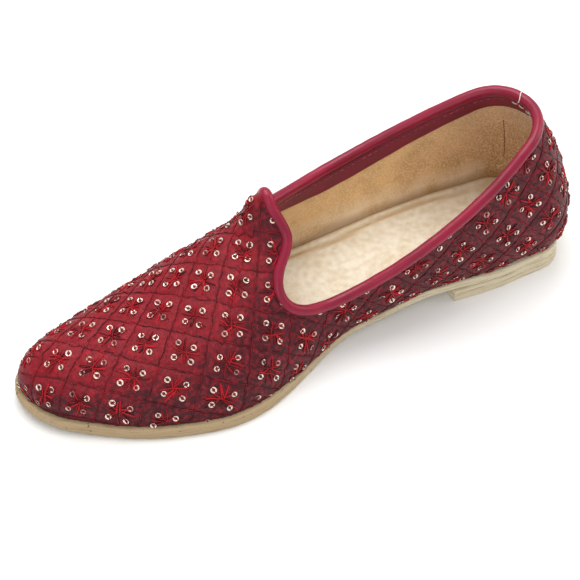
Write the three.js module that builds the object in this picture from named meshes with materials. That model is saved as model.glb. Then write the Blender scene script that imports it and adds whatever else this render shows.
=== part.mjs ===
// A left mojari slip-on: sheet sole with a low stacked heel, a hollow woven upper with a peaked throat,
// a rolled topline binding with its inner facings, and a footbed. Millimetres, +X to the toe, +Y to the
// lateral side, +Z up, with the origin on the floor under the middle of the heel.

import * as THREE from "three";

// Overall form
const soleLength = 281;
const ballWidth = 88.5;
const heelWidth = 62;
const waistWidth = 60;
const backToHeelCentre = 33;
const toeSwing = 7; // how far the toe tip bends to the medial side

// Sole
const foreThickness = 6.4;
const waistThickness = 3.8;
const seatThickness = 4.8;
const toeSpring = 3;
const breastFromBack = 69;
const liftCount = 2;
const liftThickness = 2.8;
const liftFlare = 0.3; // each lift stands this much proud of the one above
const soleChamfer = 0.5;
const soleLip = 2.4; // how far the forepart of the sole stands out past the upper

// Upper
const wall = 2.2;
const toeHeight = 36; // of the vamp's ridge where the toe box begins, over the floor
const instepHeight = 70; // of the ridge at the throat
const coneHeight = 114; // the last's top, which the quarters lean towards
const peakRise = 14; // the turned-up tip of the throat
const peakReach = 14; // the turn-up fades over this much of the vamp
const peakSpread = 10; // and over this much to each side
const peakBehind = 42; // behind the throat it is gone by this much
const backHeight = 81.5;
const sideHeight = 32; // the lateral edge at its lowest
const archHeight = 46.5; // the medial edge at its lowest

// Binding and facings
const beadDiameter = 5.4;
const beadSit = 0.45; // the bead's middle stands over the edge by this share of its radius
const facingWidth = 11;
const facingThickness = 0.8;
const facingBackGap = 0.8; // between the two facings at the back

// Footbed
const insoleThickness = 3;

// Clearances
const gap = 0.3; // between two curved pieces, and between layers

// How finely the faceted forms are divided
const vampRibs = 18;
const throatRibs = 24;
const quarterRibs = 26;
const rows = 10;
const beadArc = 10;
const soleSteps = 52;
const insoleSteps = 44;
const liftSteps = 18;

const heelHeight = liftCount * (liftThickness + gap);
const smooth = (from, to, x) => THREE.MathUtils.smoothstep(x, from, to);

// A natural cubic spline through rows of numbers, as a function of the first column.
function spline(rowsIn) {
  const x = rowsIn.map((r) => r[0]);
  const columns = rowsIn[0].slice(1).map((_, c) => rowsIn.map((r) => r[c + 1]));
  const bends = columns.map((y) => bendsOf(x, y));
  return (at) => {
    let k = x.findIndex((v) => v > at) - 1;
    if (k < -1) k = x.length - 2;
    k = Math.max(0, k);
    const h = x[k + 1] - x[k];
    const b = (at - x[k]) / h;
    const a = 1 - b;
    return columns.map(
      (y, c) =>
        a * y[k] +
        b * y[k + 1] +
        (((a ** 3 - a) * bends[c][k] + (b ** 3 - b) * bends[c][k + 1]) * h * h) / 6,
    );
  };
}

// Second derivatives at the knots of a natural spline, by forward sweep and back substitution.
function bendsOf(x, y) {
  const n = x.length;
  const share = new Array(n).fill(0);
  const load = new Array(n).fill(0);
  for (let i = 1; i < n - 1; i++) {
    const s = (x[i] - x[i - 1]) / (x[i + 1] - x[i - 1]);
    const p = s * share[i - 1] + 2;
    share[i] = (s - 1) / p;
    const turn = (y[i + 1] - y[i]) / (x[i + 1] - x[i]) - (y[i] - y[i - 1]) / (x[i] - x[i - 1]);
    load[i] = ((6 * turn) / (x[i + 1] - x[i - 1]) - s * load[i - 1]) / p;
  }
  const bend = new Array(n).fill(0);
  for (let i = n - 2; i > 0; i--) bend[i] = share[i] * bend[i + 1] + load[i];
  return bend;
}

// Plan of the feather line, where the upper meets the sole: half widths each side of the centre line.
// at: share of the length from the back
const plan = [
  { at: 0.0, lateral: 0, medial: 0 },
  { at: 0.04, lateral: 0.435 * heelWidth, medial: 0.43 * heelWidth },
  { at: 0.085, lateral: 0.475 * heelWidth, medial: 0.48 * heelWidth },
  { at: 0.15, lateral: 0.487 * heelWidth, medial: 0.505 * heelWidth },
  { at: 0.22, lateral: 0.467 * heelWidth, medial: 0.515 * heelWidth },
  { at: 0.3, lateral: 0.452 * waistWidth, medial: 0.532 * waistWidth },
  { at: 0.38, lateral: 0.468 * waistWidth, medial: 0.53 * waistWidth },
  { at: 0.46, lateral: 0.505 * waistWidth, medial: 0.53 * waistWidth },
  { at: 0.54, lateral: 0.447 * ballWidth, medial: 0.369 * ballWidth },
  { at: 0.62, lateral: 0.556 * ballWidth, medial: 0.386 * ballWidth },
  { at: 0.7, lateral: 0.609 * ballWidth, medial: 0.391 * ballWidth },
  { at: 0.78, lateral: 0.568 * ballWidth, medial: 0.36 * ballWidth },
  { at: 0.86, lateral: 0.472 * ballWidth, medial: 0.304 * ballWidth },
  { at: 0.92, lateral: 0.356 * ballWidth, medial: 0.24 * ballWidth },
  { at: 0.965, lateral: 0.25 * ballWidth, medial: 0.168 * ballWidth },
  { at: 1.0, lateral: 0, medial: 0 },
];
// The squares are splined, which rounds both ends.
const squares = spline(plan.map((r) => [r.at, r.lateral ** 2, r.medial ** 2]));
const swingFrom = 0.2;
const swingTo = 1.1;
const centreY = (at) => -toeSwing * smooth(swingFrom, swingTo, at);
const xAt = (at) => at * soleLength - backToHeelCentre;

function halfWidth(at, side) {
  const [lateral, medial] = squares(at);
  return Math.sqrt(Math.max(0, side > 0 ? lateral : medial));
}

// A point of the plan and the outward direction there. turn runs from 0 at the toe to 1 at the back.
function planPoint(turn, side) {
  const at = atTurn(turn);
  const y = centreY(at) + side * halfWidth(at, side);
  return new THREE.Vector2(xAt(at), y);
}
function atTurn(turn) {
  return (1 + Math.cos(Math.PI * turn)) / 2;
}
function planOutward(turn, side) {
  const step = 1e-3;
  const a = planPoint(Math.abs(turn - step), turn < step ? -side : side);
  const past = turn + step > 1;
  const b = planPoint(past ? 2 - turn - step : turn + step, past ? -side : side);
  const along = b.sub(a).normalize();
  return new THREE.Vector2(-along.y, along.x).multiplyScalar(-side);
}

// Heights of the sole's underside and top
const heelEnd = breastFromBack / soleLength;
const flatFrom = 0.6;
const flatTo = 0.84;
const waistFull = 0.42;
const foreFrom = 0.46;
const foreFull = 0.66;
const waistTuck = 0.7; // share of the lip that the waist loses
const tuckFrom = 0.1;
const tuckFull = 0.3;
const tuckEnd = 0.5;
function undersideZ(at) {
  if (at <= heelEnd) return heelHeight;
  if (at < flatFrom) return heelHeight * (1 - smooth(heelEnd, flatFrom, at));
  return at <= flatTo ? 0 : toeSpring * ((at - flatTo) / (1 - flatTo)) ** 2;
}
function topZ(at) {
  const waist = THREE.MathUtils.lerp(seatThickness, waistThickness, smooth(heelEnd, waistFull, at));
  return undersideZ(at) + THREE.MathUtils.lerp(waist, foreThickness, smooth(foreFrom, foreFull, at));
}
function lipAt(at) {
  const tuck = smooth(tuckFrom, tuckFull, at) * (1 - smooth(tuckEnd, foreFull, at));
  return soleLip * (1 - waistTuck * tuck);
}

// A ring of plan points grown by margin(at), at height z(at), from the toe round the lateral side and the
// back to the medial side. Point i and point 2n - i are a pair across the foot.
function planRing(turns, margin, z) {
  const point = (turn, side) => {
    const at = atTurn(turn);
    const p = planPoint(turn, side).addScaledVector(planOutward(turn, side), margin(at));
    return new THREE.Vector3(p.x, p.y, z(at));
  };
  const lateral = turns.map((t) => point(t, 1));
  const medial = turns.map((t) => point(t, -1));
  return [...lateral, ...medial.slice(1, -1).reverse()];
}

// A closed solid from rings of paired points, bottom ring first: side faces between rings, and a ladder of
// faces across the first and the last ring. pairs gives the partner of each point across the ring.
function stack(rings, pairs) {
  const n = rings[0].length;
  const points = rings.flat();
  const faces = [];
  for (let r = 0; r + 1 < rings.length; r++) {
    for (let i = 0; i < n; i++) {
      const j = (i + 1) % n;
      faces.push([r * n + i, r * n + j, (r + 1) * n + j], [r * n + i, (r + 1) * n + j, (r + 1) * n + i]);
    }
  }
  const last = (rings.length - 1) * n;
  for (let k = 0; k + 1 < pairs.length; k++) {
    const [a, b] = pairs[k];
    const [c, d] = pairs[k + 1];
    faces.push([b, d, c], [b, c, a]);
    faces.push([last + a, last + c, last + d], [last + a, last + d, last + b]);
  }
  return solid(points, faces);
}

// Faces of no area, left where a pair is one point, are dropped.
function solid(points, faces) {
  const geometry = new THREE.BufferGeometry().setFromPoints(points);
  geometry.setIndex(faces.filter(([a, b, c]) => a !== b && b !== c && c !== a).flat());
  geometry.computeVertexNormals();
  return geometry;
}

const evenTurns = (count, from = 0, to = 1) =>
  Array.from({ length: count + 1 }, (_, i) => THREE.MathUtils.lerp(from, to, i / count));
const ringPairs = (count) =>
  Array.from({ length: count + 1 }, (_, i) => [i, (2 * count - i) % (2 * count)]);

function outsole() {
  const turns = evenTurns(soleSteps);
  const ring = (inset, z) => planRing(turns, (at) => lipAt(at) - inset, z);
  const low = (rise) => (at) => undersideZ(at) + rise;
  const high = (drop) => (at) => topZ(at) - drop;
  const rings = [
    ring(soleChamfer, low(0)),
    ring(0, low(soleChamfer)),
    ring(0, high(soleChamfer)),
    ring(soleChamfer, high(0)),
  ];
  return stack(rings, ringPairs(soleSteps));
}

// A lift is a slab of the plan from the straight breast to the back. index 0 is the lowest.
function heelLift(index) {
  const breastTurn = Math.acos(2 * heelEnd - 1) / Math.PI;
  const turns = evenTurns(liftSteps, breastTurn, 1);
  const low = index * (liftThickness + gap);
  const proud = lipAt(0) + (liftCount - 1 - index) * liftFlare;
  const side = (s, margin, z) =>
    turns.map((t) => {
      const p = planPoint(t, s).addScaledVector(planOutward(t, s), margin);
      return new THREE.Vector3(Math.min(p.x, xAt(heelEnd)), p.y, z);
    });
  const ring = (margin, z) => [...side(1, margin, z), ...side(-1, margin, z).slice(0, -1).reverse()];
  const last = 2 * liftSteps;
  const pairs = turns.map((_, i) => [i, last - i]);
  return stack([ring(proud + liftFlare, low), ring(proud, low + liftThickness)], pairs);
}

// The last's ribs. Each runs from the feather line up and over to the last's top line.
// top: the rib's end, as a share of the length. lean and foot: how far its lower handle stands out and up, as
// shares of the rib's height. crown: how far its upper handle reaches out, as a share of the half width.
// ridge: how far the top line stands to the lateral side of the centre line, as a share of the ball width.
const ribs = [
  { at: 0.0, top: 0.175, height: coneHeight, ridge: 0, lean: 0.2, foot: 0.12, crown: 0.7 },
  { at: 0.08, top: 0.2, height: coneHeight, ridge: 0, lean: 0.16, foot: 0.15, crown: 0.6 },
  { at: 0.2, top: 0.235, height: 0.97 * coneHeight, ridge: 0, lean: 0.16, foot: 0.24, crown: 0.84 },
  { at: 0.32, top: 0.345, height: 0.88 * coneHeight, ridge: 0, lean: 0.22, foot: 0.33, crown: 1.0 },
  { at: 0.44, top: 0.455, height: 1.1 * instepHeight, ridge: -0.02, lean: 0.2, foot: 0.38, crown: 0.8 },
  { at: 0.56, top: 0.568, height: 0.945 * instepHeight, ridge: -0.03, lean: 0.08, foot: 0.5, crown: 0.36 },
  { at: 0.66, top: 0.664, height: 0.8 * instepHeight, ridge: 0, lean: 0.02, foot: 0.44, crown: 0.48 },
  { at: 0.76, top: 0.755, height: 1.22 * toeHeight, ridge: 0.045, lean: 0.02, foot: 0.45, crown: 0.54 },
  { at: 0.86, top: 0.84, height: 1.0 * toeHeight, ridge: 0.05, lean: 0.04, foot: 0.45, crown: 0.58 },
  { at: 0.95, top: 0.9, height: 0.89 * toeHeight, ridge: 0.03, lean: 0.08, foot: 0.46, crown: 0.62 },
  { at: 1.0, top: 0.914, height: 0.87 * toeHeight, ridge: 0.025, lean: 0.1, foot: 0.46, crown: 0.64 },
];
const ribAt = spline(ribs.map((r) => [r.at, r.top, r.height, r.ridge, r.lean, r.foot, r.crown]));
const topLine = spline(ribs.map((r) => [r.top, r.height]));

// A point of the last at rib `at`, up from 0 on the feather line to 1 on the top line.
function lastPoint(at, up, side) {
  const [top, height, ridge, lean, foot, crown] = ribAt(at);
  const turn = Math.acos(THREE.MathUtils.clamp(2 * at - 1, -1, 1)) / Math.PI;
  const base = planPoint(turn, side);
  const outward = planOutward(turn, side);
  const low = topZ(at) + gap;
  const rise = height - low;
  const peak = new THREE.Vector2(xAt(top), centreY(top) + ridge * ballWidth);
  const reach = base.clone().sub(peak).multiplyScalar(crown);
  const step = 0.002;
  const slope = (topLine(top + step)[0] - topLine(top - step)[0]) / (2 * step * soleLength);
  const from = new THREE.Vector3(base.x, base.y, low);
  outward.multiplyScalar(lean * rise);
  const over = new THREE.Vector3(base.x + outward.x, base.y + outward.y, low + foot * rise);
  const to = new THREE.Vector3(peak.x, peak.y, height);
  const under = new THREE.Vector3(peak.x + reach.x, peak.y + reach.y, height + slope * reach.x);
  const p = new THREE.CubicBezierCurve3(from, over, under, to).getPoint(up);
  p.z += throatRise(p);
  return p;
}

// The throat's tip is turned up: a bump that fades forwards, backwards and to both sides.
const peakAt = 0.566;
function throatRise(p) {
  const ahead = p.x - xAt(peakAt);
  const forward = (1 - smooth(0, peakReach, ahead)) * smooth(-peakBehind, -peakReach, ahead);
  const middle = centreY(peakAt) + ribAt(peakAt)[2] * ballWidth;
  const across = Math.exp(-(((p.y - middle) / peakSpread) ** 2));
  return peakRise * forward ** 2 * across;
}

// How far up its rib the last reaches a height
function upAtHeight(at, height, side) {
  let low = 0;
  let high = 1;
  for (let k = 0; k < 40; k++) {
    const mid = (low + high) / 2;
    if (lastPoint(at, mid, side).z < height) low = mid;
    else high = mid;
  }
  return (low + high) / 2;
}

// The upper's edge, from the throat's peak down round the lobe and along the quarter to the back. Each row is a
// rib of the upper: it starts on the feather line at foot and ends on the last's rib `at`, at a height. The
// medial edge stands higher along the arch and has a shallower lobe.
const peakHeight = 0.943 * instepHeight + peakRise;
const collar = [
  { foot: 0.76, at: 0.545, height: peakHeight, medialAt: 0.545, medialHeight: peakHeight },
  { foot: 0.748, at: 0.546, height: 1.09 * instepHeight, medialAt: 0.544, medialHeight: 1.09 * instepHeight },
  { foot: 0.735, at: 0.539, height: 0.995 * instepHeight, medialAt: 0.539, medialHeight: 1.02 * instepHeight },
  { foot: 0.72, at: 0.536, height: 0.92 * instepHeight, medialAt: 0.537, medialHeight: 0.955 * instepHeight },
  { foot: 0.704, at: 0.544, height: 0.865 * instepHeight, medialAt: 0.538, medialHeight: 0.9 * instepHeight },
  { foot: 0.688, at: 0.5575, height: 0.815 * instepHeight, medialAt: 0.541, medialHeight: 0.855 * instepHeight },
  { foot: 0.67, at: 0.571, height: 0.765 * instepHeight, medialAt: 0.543, medialHeight: 0.81 * instepHeight },
  { foot: 0.65, at: 0.581, height: 0.695 * instepHeight, medialAt: 0.542, medialHeight: 1.165 * archHeight },
  { foot: 0.622, at: 0.58, height: 1.35 * sideHeight, medialAt: 0.538, medialHeight: 1.12 * archHeight },
  { foot: 0.592, at: 0.567, height: 1.2 * sideHeight, medialAt: 0.53, medialHeight: 1.095 * archHeight },
  { foot: 0.56, at: 0.547, height: 1.095 * sideHeight, medialAt: 0.518, medialHeight: 1.09 * archHeight },
  { foot: 0.52, at: 0.515, height: 1.02 * sideHeight, medialAt: 0.497, medialHeight: 1.085 * archHeight },
  { foot: 0.46, at: 0.463, height: 1.01 * sideHeight, medialAt: 0.455, medialHeight: 1.03 * archHeight },
  { foot: 0.4, at: 0.403, height: 1.19 * sideHeight, medialAt: 0.4, medialHeight: archHeight },
  { foot: 0.33, at: 0.33, height: 1.475 * sideHeight, medialAt: 0.33, medialHeight: 1.045 * archHeight },
  { foot: 0.26, at: 0.26, height: 0.677 * backHeight, medialAt: 0.26, medialHeight: 0.68 * backHeight },
  { foot: 0.19, at: 0.19, height: 0.793 * backHeight, medialAt: 0.19, medialHeight: 0.79 * backHeight },
  { foot: 0.12, at: 0.12, height: 0.885 * backHeight, medialAt: 0.12, medialHeight: 0.892 * backHeight },
  { foot: 0.06, at: 0.06, height: 0.962 * backHeight, medialAt: 0.06, medialHeight: 0.957 * backHeight },
  { foot: 0.018, at: 0.018, height: 1.001 * backHeight, medialAt: 0.018, medialHeight: 1.001 * backHeight },
  { foot: 0, at: 0, height: backHeight, medialAt: 0, medialHeight: backHeight },
];
const lobeEnd = 11; // the row where the throat's lobe runs into the quarter
function edgeCurve(atOf, heightOf) {
  const rows = collar.map((r) => new THREE.Vector3(r.foot * soleLength, atOf(r) * soleLength, heightOf(r)));
  return new THREE.CatmullRomCurve3(rows, false, "centripetal");
}
const lateralEdge = edgeCurve((r) => r.at, (r) => r.height);
const medialEdge = edgeCurve((r) => r.medialAt, (r) => r.medialHeight);
// A rib of the upper that ends on its edge, `along` from 0 at the peak to 1 at the back
function edgeRib(along, side) {
  const { x, y, z } = (side > 0 ? lateralEdge : medialEdge).getPoint(along);
  const foot = THREE.MathUtils.clamp(x / soleLength, 0, 1);
  const at = THREE.MathUtils.clamp(y / soleLength, 0, 1);
  return { foot, at, up: along > 0 ? upAtHeight(at, z, side) : 1 };
}

// The vamp's ribs end on the ridge instead, and lean back towards the throat. Columns: along, foot, at.
const vampAlong = spline([
  [0, 1.0, 1.0],
  [0.2, 0.97, 0.965],
  [0.45, 0.9, 0.86],
  [0.7, 0.83, 0.72],
  [1, collar[0].foot, collar[0].at],
]);

// Parameters at even distances along a path of points
function evenParameters(path, from, to, count) {
  const fine = 12 * count;
  const parameters = evenTurns(fine, from, to);
  const points = parameters.map(path);
  const walked = [0];
  for (let i = 1; i <= fine; i++) walked.push(walked[i - 1] + points[i].distanceTo(points[i - 1]));
  return evenTurns(count).map((share) => {
    const wanted = share * walked[fine];
    const k = Math.max(1, walked.findIndex((w) => w >= wanted));
    const part = (wanted - walked[k - 1]) / (walked[k] - walked[k - 1]);
    return THREE.MathUtils.lerp(parameters[k - 1], parameters[k], part);
  });
}

// The upper's ribs from toe to back: where each starts, which rib of the last it ends on, and how far up.
const edgePoint = (along) => ribPoint(edgeRib(along, 1), 1, 1);
const lobeAlong = lobeEnd / (collar.length - 1);
const edgeStops = [
  ...evenParameters(edgePoint, 0, lobeAlong, throatRibs),
  ...evenParameters(edgePoint, lobeAlong, 1, quarterRibs).slice(1),
];
function upperRibs(side) {
  const vamp = evenTurns(vampRibs).slice(0, -1).map((s) => {
    const [foot, at] = vampAlong(s);
    return { foot, at, up: 1 };
  });
  return [...vamp, ...edgeStops.map((along) => edgeRib(along, side))];
}
// A rib keeps to its foot low down and turns to its end high up.
function ribPoint(rib, share, side) {
  return lastPoint(THREE.MathUtils.lerp(rib.foot, rib.at, share ** 2), rib.up * share, side);
}

// The upper's skin as a grid of shared points: columns from toe to back on each side, rows from feather to edge.
// Both sides share the toe's rib, the back's rib and the vamp's ridge.
function upperSkin() {
  const columnCount = vampRibs + throatRibs + quarterRibs;
  const points = [];
  const ids = { 1: [], [-1]: [] };
  for (const side of [1, -1]) {
    upperRibs(side).forEach((rib, i) => {
      ids[side][i] = [];
      for (let j = 0; j <= rows; j++) {
        const shared = side < 0 && (i === 0 || i === columnCount || (j === rows && i <= vampRibs));
        if (!shared) points.push(ribPoint(rib, j / rows, side));
        ids[side][i][j] = shared ? ids[1][i][j] : points.length - 1;
      }
    });
  }
  const faces = [];
  for (const side of [1, -1]) {
    for (let i = 0; i < columnCount; i++) {
      for (let j = 0; j < rows; j++) {
        const [a, b, c, d] = [ids[side][i][j], ids[side][i + 1][j], ids[side][i + 1][j + 1], ids[side][i][j + 1]];
        faces.push(side > 0 ? [a, b, d] : [a, d, b], side > 0 ? [b, c, d] : [b, d, c]);
      }
    }
  }
  return { points, faces, ids, columnCount };
}

function skinNormals(skin) {
  const geometry = new THREE.BufferGeometry().setFromPoints(skin.points);
  geometry.setIndex(skin.faces.flat());
  geometry.computeVertexNormals();
  const normal = geometry.attributes.normal;
  return skin.points.map((_, i) => new THREE.Vector3().fromBufferAttribute(normal, i));
}

const skin = upperSkin();
const outward = skinNormals(skin);
for (const side of [1, -1]) {
  // the lowest row is offset level, so that the wall stands flat on the sole
  for (const column of skin.ids[side]) outward[column[0]].setZ(0).normalize();
}
const inward = (i, depth) => skin.points[i].clone().addScaledVector(outward[i], -depth);

// Ring of the skin's ids at a row: along the lateral side to the back and forwards along the medial side
function ringIds(row, from) {
  const lateral = skin.ids[1].slice(from).map((c) => c[row]);
  const medial = skin.ids[-1].slice(from + 1, -1).map((c) => c[row]);
  return [...lateral, ...medial.reverse()];
}

function upper() {
  const n = skin.points.length;
  const points = [...skin.points, ...skin.points.map((_, i) => inward(i, wall))];
  const faces = [...skin.faces, ...skin.faces.map(([a, b, c]) => [a + n, c + n, b + n])];
  const foot = ringIds(0, 0);
  foot.forEach((a, k) => {
    const b = foot[(k + 1) % foot.length];
    faces.push([a, a + n, b + n], [a, b + n, b]);
  });
  const edge = ringIds(rows, vampRibs);
  edge.forEach((a, k) => {
    const b = edge[(k + 1) % edge.length];
    faces.push([a, b, b + n], [a, b + n, a + n]);
  });
  return solid(points, faces);
}

// The binding's path: the middle of the upper's edge, with its outward and upward directions.
function edgeFrames() {
  const edge = ringIds(rows, vampRibs);
  const middle = edge.map((i) => inward(i, wall / 2));
  return edge.map((id, k) => {
    const along = middle[(k + 1) % edge.length].clone().sub(middle.at(k - 1)).normalize();
    const out = outward[id].clone().addScaledVector(along, -outward[id].dot(along)).normalize();
    const up = out.clone().cross(along).normalize();
    return { centre: middle[k], out, up };
  });
}

// The bead is a round section with a slot for the upper's edge.
function binding() {
  const radius = beadDiameter / 2;
  const slot = wall / 2 + gap;
  const lift = beadSit * radius;
  const open = Math.asin(slot / radius);
  const section = [];
  for (let k = 0; k <= beadArc; k++) {
    const angle = THREE.MathUtils.lerp(open, 2 * Math.PI - open, k / beadArc);
    section.push([Math.sin(angle) * radius, lift - Math.cos(angle) * radius]);
  }
  section.push([-slot, gap], [slot, gap]);
  const frames = edgeFrames();
  const points = frames.flatMap(({ centre, out, up }) =>
    section.map(([o, u]) => centre.clone().addScaledVector(out, o).addScaledVector(up, u)),
  );
  const n = section.length;
  const faces = [];
  frames.forEach((_, k) => {
    const next = (k + 1) % frames.length;
    for (let i = 0; i < n; i++) {
      const j = (i + 1) % n;
      faces.push([k * n + i, next * n + i, next * n + j], [k * n + i, next * n + j, k * n + j]);
    }
  });
  return solid(points, faces);
}

// A facing lies inside one quarter, from the throat's lobe to the back, below the bead's inner leg.
function facing(side) {
  const radius = beadDiameter / 2;
  const legEnd = Math.sqrt(radius ** 2 - (wall / 2 + gap) ** 2) - beadSit * radius;
  const firstColumn = vampRibs + throatRibs - 2;
  const columns = skin.ids[side].slice(firstColumn);
  const near = wall + gap;
  const sections = columns.map((column) => {
    const trail = [...column].reverse();
    const pick = (down, depth) => {
      let walked = 0;
      for (let k = 0; k + 1 < trail.length; k++) {
        const a = skin.points[trail[k]];
        const b = skin.points[trail[k + 1]];
        const step = a.distanceTo(b);
        if (walked + step >= down) {
          const share = (down - walked) / step;
          return inward(trail[k], depth).lerp(inward(trail[k + 1], depth), share);
        }
        walked += step;
      }
      return inward(trail.at(-1), depth);
    };
    const top = legEnd + gap;
    const middle = top + facingWidth / 2;
    const bottom = top + facingWidth;
    const far = near + facingThickness;
    const face = (depth) => [top, middle, bottom].map((down) => pick(down, depth));
    return [...face(near), ...face(far).reverse()];
  });
  // the last section stops short of the back
  const back = sections.at(-1);
  const before = sections.at(-2);
  const stop = 1 - facingBackGap / 2 / back[0].distanceTo(before[0]);
  sections[sections.length - 1] = back.map((p, i) => before[i].clone().lerp(p, stop));
  const n = sections[0].length;
  const faces = [];
  for (let k = 0; k + 1 < sections.length; k++) {
    for (let i = 0; i < n; i++) {
      const j = (i + 1) % n;
      faces.push([k * n + i, (k + 1) * n + j, (k + 1) * n + i], [k * n + i, k * n + j, (k + 1) * n + j]);
    }
  }
  const end = (sections.length - 1) * n;
  for (const [a, b, c] of [[0, 1, 4], [0, 4, 5], [1, 2, 3], [1, 3, 4]]) {
    faces.push([a, c, b], [end + a, end + b, end + c]);
  }
  const oriented = side < 0 ? faces.map(([a, b, c]) => [a, c, b]) : faces;
  return solid(sections.flat(), oriented);
}

function insole() {
  const turns = evenTurns(insoleSteps);
  const inset = wall + 2 * gap;
  const ring = (extra, lift) => planRing(turns, () => -inset - extra, (at) => topZ(at) + gap + lift);
  return stack(
    [ring(0, 0), ring(0, insoleThickness - soleChamfer), ring(soleChamfer, insoleThickness)],
    ringPairs(insoleSteps),
  );
}

const finish = (color, roughness) => new THREE.MeshStandardMaterial({ color, roughness, metalness: 0 });
const crepe = finish(0xd8c8a0, 0.85);
const brocade = finish(0x7a1830, 0.5);
const leatherette = finish(0xa81d4e, 0.4);
const facingCloth = finish(0x6e1836, 0.55);
const sockCloth = finish(0xe0d4bc, 0.8);

function piece(name, geometry, material) {
  const mesh = new THREE.Mesh(geometry, material);
  mesh.name = name;
  return mesh;
}

const shoe = new THREE.Group();
shoe.add(piece("outsole", outsole(), crepe));
const liftNames = ["heel_lift_lower", "heel_lift_upper"];
for (let i = 0; i < liftCount; i++) shoe.add(piece(liftNames[i], heelLift(i), crepe));
shoe.add(piece("insole", insole(), sockCloth));
shoe.add(piece("upper", upper(), brocade));
shoe.add(piece("topline_binding", binding(), leatherette));
shoe.add(piece("facing_lateral", facing(1), facingCloth));
shoe.add(piece("facing_medial", facing(-1), facingCloth));

export default shoe;
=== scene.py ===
"""Looks of a mojari slip-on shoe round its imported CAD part, laid out as a Blender add-on."""

import functools
import math
import types

import bpy
import numpy as np
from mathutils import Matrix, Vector


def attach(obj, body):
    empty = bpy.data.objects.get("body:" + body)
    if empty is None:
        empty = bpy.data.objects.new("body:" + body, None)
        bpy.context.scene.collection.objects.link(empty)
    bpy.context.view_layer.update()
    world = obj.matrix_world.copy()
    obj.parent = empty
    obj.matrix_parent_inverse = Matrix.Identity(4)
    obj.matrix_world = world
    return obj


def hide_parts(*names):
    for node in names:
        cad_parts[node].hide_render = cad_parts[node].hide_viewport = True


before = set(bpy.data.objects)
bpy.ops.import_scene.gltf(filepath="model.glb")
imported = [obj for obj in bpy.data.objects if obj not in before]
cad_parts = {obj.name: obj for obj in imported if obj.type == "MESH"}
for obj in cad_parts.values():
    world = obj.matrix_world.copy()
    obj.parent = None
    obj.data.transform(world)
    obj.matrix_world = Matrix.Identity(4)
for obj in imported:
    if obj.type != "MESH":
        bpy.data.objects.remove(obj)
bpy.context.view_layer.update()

bl_info = {
    "name": "Mojari Slip-on Shoe",
    "version": (1, 0, 0),
    "blender": (4, 5, 0),
    "location": "3D View > Sidebar > Mojari",
    "description": "Builds the cloth, embroidery, binding, lining, footbed and sole of a mojari shoe",
    "category": "Add Mesh",
}

MM = 0.001


# Properties


def length(name, millimetres, description):
    """A length property, given in millimetres and kept in metres."""
    return bpy.props.FloatProperty(
        name=name, description=description, default=millimetres * MM, unit="LENGTH", precision=5
    )


def share(name, value, description):
    """A plain number, such as a share of another size."""
    return bpy.props.FloatProperty(name=name, description=description, default=value, precision=4)


def angle(name, degrees, description):
    """An angle property, given in degrees and kept in radians."""
    return bpy.props.FloatProperty(
        name=name, description=description, default=math.radians(degrees), subtype="ANGLE"
    )


def power(name, watts, description):
    """A light's power."""
    return bpy.props.FloatProperty(name=name, description=description, default=watts, subtype="POWER")


def count(name, value, description):
    """A whole number."""
    return bpy.props.IntProperty(name=name, description=description, default=value)


def linear(colour):
    """The linear value of an sRGB colour of three shares."""
    c = np.array(colour, float)
    return tuple(np.where(c <= 0.04045, c / 12.92, ((c + 0.055) / 1.055) ** 2.4))


def colour(name, srgb, description):
    """A colour property, given in sRGB and kept linear."""
    return bpy.props.FloatVectorProperty(
        name=name, description=description, default=linear(srgb), subtype="COLOR", size=3, min=0, max=1
    )


class MojariForm(bpy.types.PropertyGroup):
    """Sizes of the last, the upper and the sole, the same as the CAD part's."""

    sole_length: length("Sole length", 281, "Feather line from back to toe")
    ball_width: length("Ball width", 88.5, "Feather line across the ball")
    heel_width: length("Heel width", 62, "Feather line across the seat")
    waist_width: length("Waist width", 60, "Feather line across the waist")
    back_to_heel_centre: length("Back to heel centre", 33, "From the back to the origin")
    toe_swing: length("Toe swing", 7, "How far the toe bends to the medial side")
    fore_thickness: length("Forepart thickness", 6.4, "Sole under the ball")
    waist_thickness: length("Waist thickness", 3.8, "Sole under the arch")
    seat_thickness: length("Seat thickness", 4.8, "Sole over the heel lifts")
    toe_spring: length("Toe spring", 3, "Rise of the sole at the toe")
    breast_from_back: length("Heel breast", 69, "From the back to the heel's front face")
    lift_thickness: length("Lift thickness", 2.8, "One heel lift")
    lift_flare: length("Lift flare", 0.3, "Each lift stands this much proud of the one above")
    sole_lip: length("Sole lip", 2.4, "How far the sole stands out past the upper")
    wall: length("Wall", 2.2, "Cloth and lining together")
    toe_height: length("Toe height", 36, "Ridge where the toe box begins")
    instep_height: length("Instep height", 70, "Ridge at the throat")
    cone_height: length("Cone height", 114, "The last's top, which the quarters lean to")
    peak_rise: length("Peak rise", 14, "The turned-up tip of the throat")
    peak_reach: length("Peak reach", 14, "How far forward the turn-up fades")
    peak_spread: length("Peak spread", 10, "How far to each side the turn-up fades")
    peak_behind: length("Peak behind", 42, "How far behind the throat the turn-up is gone")
    back_height: length("Back height", 81.5, "The edge at the back")
    side_height: length("Side height", 32, "The lateral edge at its lowest")
    arch_height: length("Arch height", 46.5, "The medial edge at its lowest")
    bead_diameter: length("Bead diameter", 5.4, "The rolled binding")
    bead_sit: share("Bead seat", 0.45, "The bead stands over the edge by this share of its radius")
    facing_width: length("Facing width", 11, "The binding's inner strip")
    facing_thickness: length("Facing thickness", 0.8, "The binding's inner strip")
    facing_back_gap: length("Facing gap", 0.8, "Between the facings at the back")
    insole_thickness: length("Insole thickness", 3, "The footbed")
    gap: length("Clearance", 0.3, "Between two pieces")


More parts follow.
